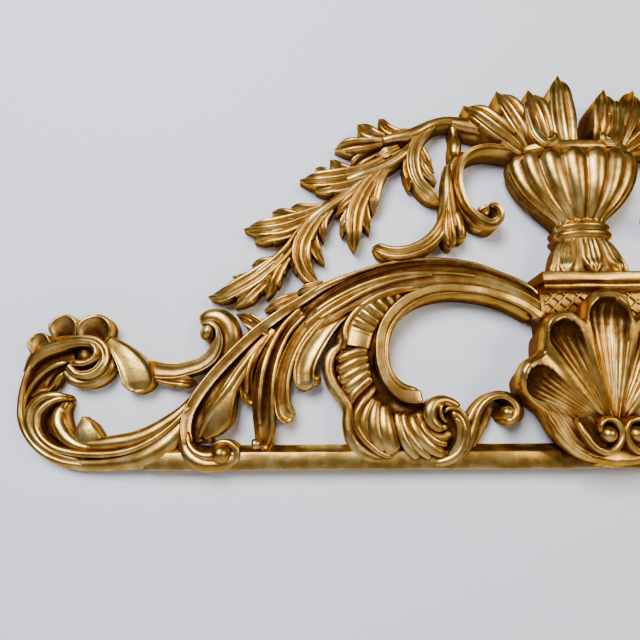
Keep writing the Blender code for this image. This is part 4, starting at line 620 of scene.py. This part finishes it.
urn = {
    "foot": 183, "height": 140, "halfWidth": 69,
    "gadroon": 21, "rise": 5.2,       # degrees from one gadroon to the next, squares from groove to crest
    "dart": 0.42, "dartWidth": 2.0,   # the thin fillet that stands in each groove
    "footLeaf": 45, "footRise": 6.5,  # degrees from one foot leaf to the next, squares from hollow to crest
    "footTop": 0.255, "leafTip": 0.5, # in heights, and the share of the foot over which a leaf rounds off
    "front": 84,                      # degrees from the front to where the side wall starts
    "scallop": 0.035,                 # how far the gadroons' round tops drop between them, in heights
    # up, half width, relief at the side and in front (in half widths), gadroons and foot leaves
    "levels": [
        (-0.03, 0.59, 0.43, 0.62, 0, 0.6), (0.0, 0.585, 0.43, 0.62, 0, 0.8), (0.04, 0.57, 0.43, 0.615, 0, 1),
        (0.09, 0.545, 0.43, 0.61, 0, 1), (0.15, 0.51, 0.42, 0.60, 0, 1), (0.21, 0.455, 0.40, 0.58, 0, 0.8),
        (0.245, 0.40, 0.39, 0.555, 0, 0.4), (0.265, 0.36, 0.38, 0.54, 0, 0.1),
        (0.272, 0.375, 0.37, 0.56, 0, 0), (0.285, 0.41, 0.36, 0.585, 0, 0), (0.305, 0.42, 0.36, 0.595, 0, 0),
        (0.322, 0.40, 0.36, 0.58, 0, 0), (0.332, 0.37, 0.36, 0.56, 0, 0), (0.342, 0.385, 0.36, 0.57, 0, 0),
        (0.362, 0.405, 0.36, 0.585, 0, 0), (0.382, 0.39, 0.34, 0.57, 0, 0),
        (0.395, 0.35, 0.32, 0.545, 0.1, 0),
        (0.41, 0.37, 0.32, 0.555, 0.35, 0), (0.44, 0.43, 0.31, 0.6, 0.6, 0), (0.48, 0.53, 0.3, 0.66, 0.8, 0),
        (0.55, 0.68, 0.28, 0.73, 1, 0), (0.62, 0.8, 0.26, 0.78, 1, 0), (0.69, 0.89, 0.25, 0.81, 1, 0),
        (0.76, 0.955, 0.24, 0.83, 1, 0), (0.82, 0.99, 0.23, 0.84, 1, 0), (0.865, 1, 0.24, 0.83, 1, 0),
        (0.905, 0.975, 0.27, 0.8, 1, 0), (0.925, 0.92, 0.31, 0.75, 0.8, 0), (0.935, 0.84, 0.36, 0.69, 0.3, 0),
        (0.94, 0.775, 0.38, 0.64, 0, 0), (0.95, 0.8, 0.4, 0.65, 0, 0), (0.965, 0.815, 0.41, 0.655, 0, 0),
        (0.99, 0.815, 0.41, 0.655, 0, 0), (1.003, 0.8, 0.41, 0.65, 0, 0), (1.01, 0.76, 0.41, 0.62, 0, 0)],
}


def urnRings():
    # Half rings from side to side: an oval of each level, swelled by |sin| lobes with a dart in each groove.
    # The foot's hanging leaves are sqrt(1 - q^4) high, with q across them, and have a curled tip, veins and
    # a lower leaf between each two.
    share = np.linspace(-0.03, 1.01, 150)
    levels = smoothTable(urn["levels"], share)
    share = share[:, None]
    wide, side, front, gadroons, leaves = (column[:, None] for column in levels.T)
    turn = np.radians(np.linspace(-32, 212, 221))[None, :]
    fromFront = np.degrees(turn - math.pi / 2)
    lobe = np.abs(np.sin(np.radians(fromFront) * 180 / urn["gadroon"]))
    groove = (fromFront + urn["gadroon"] / 2) % urn["gadroon"] - urn["gadroon"] / 2
    dart = urn["dart"] * np.exp(-(groove / urn["dartWidth"])**2)
    up = np.clip(share / urn["footTop"], 0, 1)
    fromMiddle = np.abs((fromFront + urn["footLeaf"] / 2) / urn["footLeaf"] % 1 - 0.5) * 2
    reach = np.sqrt(np.clip(up / urn["leafTip"], 0.01, 1)) * 0.96
    blade = np.sqrt(np.clip(1 - (fromMiddle / reach)**4, 0, 1))
    curl = 0.3 * np.exp(-((up - 0.22) / 0.16)**2) * blade
    veins = 0.3 * np.exp(-((fromMiddle - 0.42 * reach) / 0.09)**2) + 0.2 * np.exp(-(fromMiddle / 0.07)**2)
    behind = 0.45 * (1 - ((1 - fromMiddle) / 0.6)**2) * (fromMiddle > 0.4)
    leaf = np.maximum(0.75 * blade + curl - veins * blade * (0.4 + 0.6 * up), behind)
    carved = gadroons * urn["rise"] * (np.maximum(lobe**0.75, dart) - 1)
    carved = carved + leaves * urn["footRise"] * (leaf - 1)
    width = urn["halfWidth"]
    x = -(wide * width + carved) * np.cos(turn)
    out = np.maximum(width * (side + (front - side) * np.sin(turn)) + carved * np.sin(turn), 0)
    drop = urn["scallop"] * np.clip((share - 0.8) / 0.1, 0, 1) * (share < 0.938) * (1 - lobe)
    z = urn["foot"] + urn["height"] * (share - drop) + 0 * x
    # Painted shade: darker in the grooves between gadroons, in the hollows of the foot leaves and in a band
    # under the rim; the sides are painted brown like side walls.
    stain = gadroons * 0.35 * (1 - lobe)**2 + leaves * 0.75 * np.clip(1 - leaf, 0, 1)
    stain = stain + 0.3 * np.exp(-((share - 0.9) / 0.05)**2)
    stain = np.where(np.abs(fromFront) > urn["front"], sideWallShade, stain)
    rings = [np.pad(column, ((0, 0), (1, 1)), mode="edge")[:, ::-1] for column in (x, out, z, stain)]
    rings[1][:, [0, -1]] = 0
    return np.stack(rings, axis=2)


trellisWork = {
    "pitch": 8.8, "width": 1.1, "relief": 28.6,
    "top": 173.5, "height": 46, "reach": 47, "shortest": 4,
}


def trellisRings():
    # Straight straps both ways across the panel between the arches, cut off at its sides.
    grids = []
    strap = line(roundTop)
    half, reach = trellisWork["height"] / 2, trellisWork["reach"]
    for lean in (-1, 1):
        for place in np.arange(-9, 10) * trellisWork["pitch"] * math.sqrt(2):
            low, high = np.clip([place - lean * half, place + lean * half], -reach, reach)
            if abs(high - low) < trellisWork["shortest"]:
                continue
            ends = [(left, trellisWork["top"] - half - lean * (left - place), trellisWork["width"],
                     trellisWork["relief"]) for left in (low, high)]
            grids.append(strand(ends, strap, seen=False))
    return grids


reliefMap = {
    "cell": 1.5,                                # squares to a cell
    "width": 1180, "height": 520, "foot": 40,   # squares that it covers, and from how far below the rail
    "near": 3, "wide": 8,                       # cells to each side in the two means
}
ageAndShade = {
    "crest": 0.1, "wall": 0.78,                 # how dark a crest is, and a side wall, which is painted shade
    "near": 8, "wide": 26,                      # squares below the two means that make a point quite dark with age and painted shade
    "least": -6, "most": 30,                    # squares, the limits of the wide one
}


def cellOf(points):
    # The column and the row of the map that each point lies in.
    column = (points[:, 0] + reliefMap["width"] / 2) / reliefMap["cell"]
    row = (points[:, 2] + reliefMap["foot"]) / reliefMap["cell"]
    return column.astype(int), row.astype(int)


def mapOfReliefs(grids):
    # The highest relief in each cell seen from the front, then its mean over a small and a wide square.
    top = np.zeros([math.ceil(reliefMap[side] / reliefMap["cell"]) for side in ("width", "height")])
    for grid in grids:
        points = grid.reshape(-1, 4)
        np.maximum.at(top, cellOf(points), points[:, 1])
    means = []
    for reach in (reliefMap["near"], reliefMap["wide"]):
        total = np.pad(np.cumsum(np.cumsum(np.pad(top, reach), axis=0), axis=1), ((1, 0), (1, 0)))
        side = 2 * reach + 1
        columns = total[side:] - total[:-side]
        means.append((columns[:, side:] - columns[:, :-side]) / side**2)
    return means


def hollowDirtAndShade(points, means):
    # How far a point lies below the mean relief round it, with its own darkening: 0 on a crest, 1 in a deep
    # hollow, partly age and partly painted shade in the recesses. A side wall is painted evenly brown as
    # shade.
    cell = cellOf(points)
    near, wide = (mean[cell] - points[:, 1] for mean in means)
    hollow = near / ageAndShade["near"] + np.clip(wide, ageAndShade["least"], ageAndShade["most"]) / ageAndShade["wide"]
    front = np.clip(ageAndShade["crest"] + points[:, 3] + hollow, 0, 1)
    return np.where(points[:, 3] == sideWallShade, ageAndShade["wall"] + np.clip(wide, 0, 10) / 100, front)


def carvedPiece(name, grids, mirrored=True):
    # Closes every grid of rings into a body and puts all of them, and their mirror images, in one mesh.
    points, loops, sizes, first = [], [], [], 0
    for grid in grids:
        stations, around = grid.shape[:2]
        index = first + np.arange(stations * around).reshape(stations, around)
        nextOne = np.roll(index, -1, axis=1)
        quads = np.stack([index[:-1], nextOne[:-1], nextOne[1:], index[1:]], axis=2).reshape(-1, 4)
        points.append(grid.reshape(-1, 4))
        loops += [quads.ravel(), index[0, ::-1], index[-1]]
        sizes += [np.full(len(quads), 4), [around, around]]
        first += stations * around
    points, loops, sizes = np.concatenate(points), np.concatenate(loops), np.concatenate(sizes)
    # The hollow attribute darkens recesses: partly age, partly painted shade.
    hollow = hollowDirtAndShade(points, reliefMeans)
    points = points[:, :3]
    if mirrored:
        starts = np.cumsum(sizes) - sizes
        turned = np.repeat(starts + sizes, sizes) - 1 - (np.arange(len(loops)) - np.repeat(starts, sizes))
        loops = np.concatenate([loops, loops[turned] + len(points)])
        points = np.concatenate([points, points * [-1, 1, 1]])
        sizes, hollow = np.tile(sizes, 2), np.tile(hollow, 2)
    square = drawing["square"]
    place = np.stack([points[:, 0], -points[:, 1], points[:, 2] - drawing["fixingHeight"]], axis=1) * square
    mesh = bpy.data.meshes.new(name)
    mesh.vertices.add(len(place))
    mesh.vertices.foreach_set("co", place.astype(np.float32).ravel())
    mesh.loops.add(len(loops))
    mesh.loops.foreach_set("vertex_index", loops.astype(np.int32))
    mesh.polygons.add(len(sizes))
    mesh.polygons.foreach_set("loop_start", (np.cumsum(sizes) - sizes).astype(np.int32))
    mesh.polygons.foreach_set("use_smooth", np.ones(len(sizes), bool))
    attribute = mesh.attributes.new("hollow", "FLOAT", "POINT")
    attribute.data.foreach_set("value", hollow.astype(np.float32))
    mesh.update(calc_edges=True)
    mesh.validate()
    mesh.set_sharp_from_angle(angle=math.radians(drawing["sharpAngle"]))
    mesh.materials.append(gilding)
    piece = bpy.data.objects.new(name, mesh)
    bpy.context.scene.collection.objects.link(piece)
    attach(piece, "root")
    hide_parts("carved_overdoor")
    print("made", name, "with", int((sizes - 2).sum()), "triangles")
    return piece


def linear(hexColour):
    # An sRGB hex value as linear red, green, blue and alpha.
    value = np.array([int(hexColour[i:i + 2], 16) for i in (1, 3, 5)]) / 255
    return (*np.where(value <= 0.04045, value / 12.92, ((value + 0.055) / 1.055)**2.4), 1)


def addNode(tree, kind, settings=(), links=()):
    # Adds a node, sets its properties and its unlinked inputs, and links the others.
    node = tree.nodes.new(kind)
    for name, value in dict(settings).items():
        if isinstance(name, str) and hasattr(node, name):
            setattr(node, name, value)
        else:
            node.inputs[name].default_value = value
    for name, source in dict(links).items():
        tree.links.new(source, node.inputs[name])
    return node


def noiseOf(tree, place, size, detail, roughness):
    # A noise with patches of about the size given, in millimetres.
    settings = {"Scale": 1000 / size / 2, "Detail": detail, "Roughness": roughness}
    return addNode(tree, "ShaderNodeTexNoise", settings, {"Vector": place}).outputs["Fac"]


def ranged(tree, value, low, high, first, last):
    # The value's way from low to high, as one from first to last.
    settings = {"From Min": low, "From Max": high, "To Min": first, "To Max": last}
    return addNode(tree, "ShaderNodeMapRange", settings, {"Value": value}).outputs["Result"]


gildingLooks = {
    "leaf": "#BD954A", "paleLeaf": "#DABC76", "rubbedLeaf": "#A07636",   # burnished gold, thick or thin
    "bole": "#78380F", "dirtAndShade": "#2E1505",           # red clay ground, and the brown of age and of painted shade in hollows and on side walls
    "edge": "#E2AC62",                              # gold stays warm where the light grazes it
    "roughness": (0.31, 0.52),                      # burnished crests, matt hollows
    "leafSquare": 9.0, "toolMark": 3.2, "grain": 0.5,   # millimetres
}


def makeGilding():
    # Water gilding over red bole on gesso: a burnished metal skin, uneven from the tools, thin at the
    # crests and dull brown in the hollows, where leaf never reached and dust has settled and shade is painted
    # in.
    looks = gildingLooks
    material = bpy.data.materials.new("waterGilding")
    material.use_nodes = True
    tree = material.node_tree
    shader = tree.nodes["Principled BSDF"]
    place = addNode(tree, "ShaderNodeTexCoord").outputs["Object"]
    hollow = addNode(tree, "ShaderNodeAttribute", {"attribute_name": "hollow"}).outputs["Fac"]
    leaves = noiseOf(tree, place, looks["leafSquare"], 3, 0.6)
    marks = noiseOf(tree, place, looks["toolMark"], 2, 0.5)
    grain = noiseOf(tree, place, looks["grain"], 2, 0.6)
    tone = addNode(tree, "ShaderNodeValToRGB", {}, {"Fac": leaves})
    ramp = tone.color_ramp.elements
    ramp[0].position, ramp[0].color = 0.32, linear(looks["rubbedLeaf"])
    ramp[1].position, ramp[1].color = 0.68, linear(looks["paleLeaf"])
    ramp.new(0.5).color = linear(looks["leaf"])
    depth = addNode(tree, "ShaderNodeMath", {"operation": "MULTIPLY_ADD", 1: 0.35, 2: -0.17}, {0: marks})
    depth = addNode(tree, "ShaderNodeMath", {"operation": "ADD"}, {0: hollow, 1: depth.outputs[0]}).outputs[0]
    colour = tone.outputs["Color"]
    # The bole and the brown follow the hollow attribute, which holds age and painted shade.
    for layer, low, high, most in (("bole", 0.35, 1, 0.8), ("dirtAndShade", 0.5, 1.05, 0.9)):
        settings = {"data_type": "RGBA", 7: linear(looks[layer])}
        share = ranged(tree, depth, low, high, 0, most)
        colour = addNode(tree, "ShaderNodeMix", settings, {0: share, 6: colour}).outputs[2]
    tree.links.new(colour, shader.inputs["Base Color"])
    tree.links.new(ranged(tree, depth, 0.45, 1, 1, 0.85), shader.inputs["Metallic"])
    shader.inputs["Specular Tint"].default_value = linear(looks["edge"])
    tree.links.new(ranged(tree, depth, 0.2, 0.8, *looks["roughness"]), shader.inputs["Roughness"])
    first = addNode(tree, "ShaderNodeBump", {"Strength": 0.22, "Distance": 0.0009}, {"Height": marks})
    second = addNode(tree, "ShaderNodeBump", {"Strength": 0.25, "Distance": 0.00025},
                     {"Height": grain, "Normal": first.outputs["Normal"]})
    tree.links.new(second.outputs["Normal"], shader.inputs["Normal"])
    return material


gilding = makeGilding()

straight = [moulding(straightWork["railSection"], straightWork["railLength"])]
centre = [moulding(straightWork[f"{part}Section"], straightWork[f"{part}Length"])
          for part in ("slab", "bed", "panel")] + trellisRings()
pieces = {
    "rail": (straight, False),
    "slabAndPanel": (centre, False),
    "urnBowl": ([urnRings()], False),
    "endScrolls": (groupRings(endScroll) + groupRings(lowerHook), True),
    "tongueLeaves": (groupRings(tongueAndCurl), True),
    "acanthusLeaves": (groupRings(acanthus), True),
    "brokenArches": (groupRings(brokenArch) + groupRings(openingFrame), True),
    "rocailleWork": (groupRings(rocaille), True),
    "volutes": (groupRings(voluteAndLeaf), True),
    "scallopShell": ([scallopRings()], False),
    "shellScrolls": (groupRings(shellScroll, seen=False), True),
    "urnFoliageTop": (groupRings(urnMiddleLeaf), False),
    "urnFoliage": (groupRings(urnLeaves), True),
    "urnHandles": (groupRings(handle), True),
    "garlands": (groupRings(garland), True),
}
everyGrid = []
for grids, mirrored in pieces.values():
    everyGrid += grids
    if mirrored:
        everyGrid += [grid * [-1, 1, 1, 1] for grid in grids]
reliefMeans = mapOfReliefs(everyGrid)
print("lines drawn:", len(everyGrid), "strands")
for name, (grids, mirrored) in pieces.items():
    carvedPiece(name, grids, mirrored)

stage = {
    "wall": "#EEF3FD", "floor": "#DCDAD8",
    "gap": 0.0006,                                   # metres from the flat back to the wall
    "side": 3, "top": 2, "front": -4, "level": -0.95,   # metres, where the wall and the floor end
}


def plainSurface(name, corners, colour, oneSided=False):
    # A flat sheet. The wall lets rays through from behind, so that the back can be looked at.
    mesh = bpy.data.meshes.new(name)
    mesh.from_pydata(corners, [], [(0, 1, 2, 3)])
    surface = bpy.data.objects.new(name, mesh)
    bpy.context.scene.collection.objects.link(surface)
    material = bpy.data.materials.new(name + "Paint")
    material.use_nodes = True
    tree = material.node_tree
    shader = tree.nodes["Principled BSDF"]
    shader.inputs["Base Color"].default_value = linear(colour)
    shader.inputs["Roughness"].default_value = 0.85
    if oneSided:
        behind = addNode(tree, "ShaderNodeNewGeometry").outputs["Backfacing"]
        clear = addNode(tree, "ShaderNodeBsdfTransparent").outputs["BSDF"]
        both = addNode(tree, "ShaderNodeMixShader", {}, {0: behind, 1: shader.outputs["BSDF"], 2: clear})
        tree.links.new(both.outputs["Shader"], tree.nodes["Material Output"].inputs["Surface"])
    mesh.materials.append(material)
    return surface


side, top, front, level, gap = (stage[name] for name in ("side", "top", "front", "level", "gap"))
plainSurface("wall", [(-side, gap, level), (side, gap, level), (side, gap, top), (-side, gap, top)],
             stage["wall"], oneSided=True)
floorCorners = [(-side, front, level), (side, front, level), (side, side, level), (-side, side, level)]
plainSurface("floor", floorCorners, stage["floor"])

lights = {   # name: place in metres, size, watts, colour
    "window": ((-0.7, -1.5, 0.75), 0.8, 45, "#F6F8FF"),
    "secondWindow": ((1.0, -1.5, 0.4), 0.6, 15, "#FFF0D2"),
}
lightTarget = (-0.2, 0, 0.1)


def aimed(place, target):
    # The turn that points an object's -Z from its place to the target.
    return (Vector(target) - Vector(place)).to_track_quat("-Z", "Y").to_euler()


for name, (place, size, power, colour) in lights.items():
    lamp = bpy.data.lights.new(name, "AREA")
    lamp.shape = "SQUARE"
    lamp.size, lamp.energy, lamp.color = size, power, linear(colour)[:3]
    light = bpy.data.objects.new(name, lamp)
    light.location = place
    light.rotation_euler = aimed(place, lightTarget)
    bpy.context.scene.collection.objects.link(light)

world = bpy.data.worlds.new("room")
world.use_nodes = True
background = world.node_tree.nodes["Background"]
background.inputs["Color"].default_value = linear("#C8C0C0")
background.inputs["Strength"].default_value = 0.05
bpy.context.scene.world = world

cameraWork = {
    "place": (-0.266, -0.500, -0.029),
    "pitch": 13, "roll": -0.33,                     # degrees
    "focalPixels": 500, "pictureWidth": 640, "sensor": 36,
}
lens = bpy.data.cameras.new("camera")
lens.sensor_width = cameraWork["sensor"]
lens.lens = cameraWork["focalPixels"] / cameraWork["pictureWidth"] * cameraWork["sensor"]
camera = bpy.data.objects.new("camera", lens)
pitch = Matrix.Rotation(math.radians(90 + cameraWork["pitch"]), 4, "X")
turn = pitch @ Matrix.Rotation(math.radians(cameraWork["roll"]), 4, "Z")
camera.rotation_euler = turn.to_euler()
camera.location = cameraWork["place"]
bpy.context.scene.collection.objects.link(camera)
bpy.context.scene.camera = camera
print("wall, light and camera set")
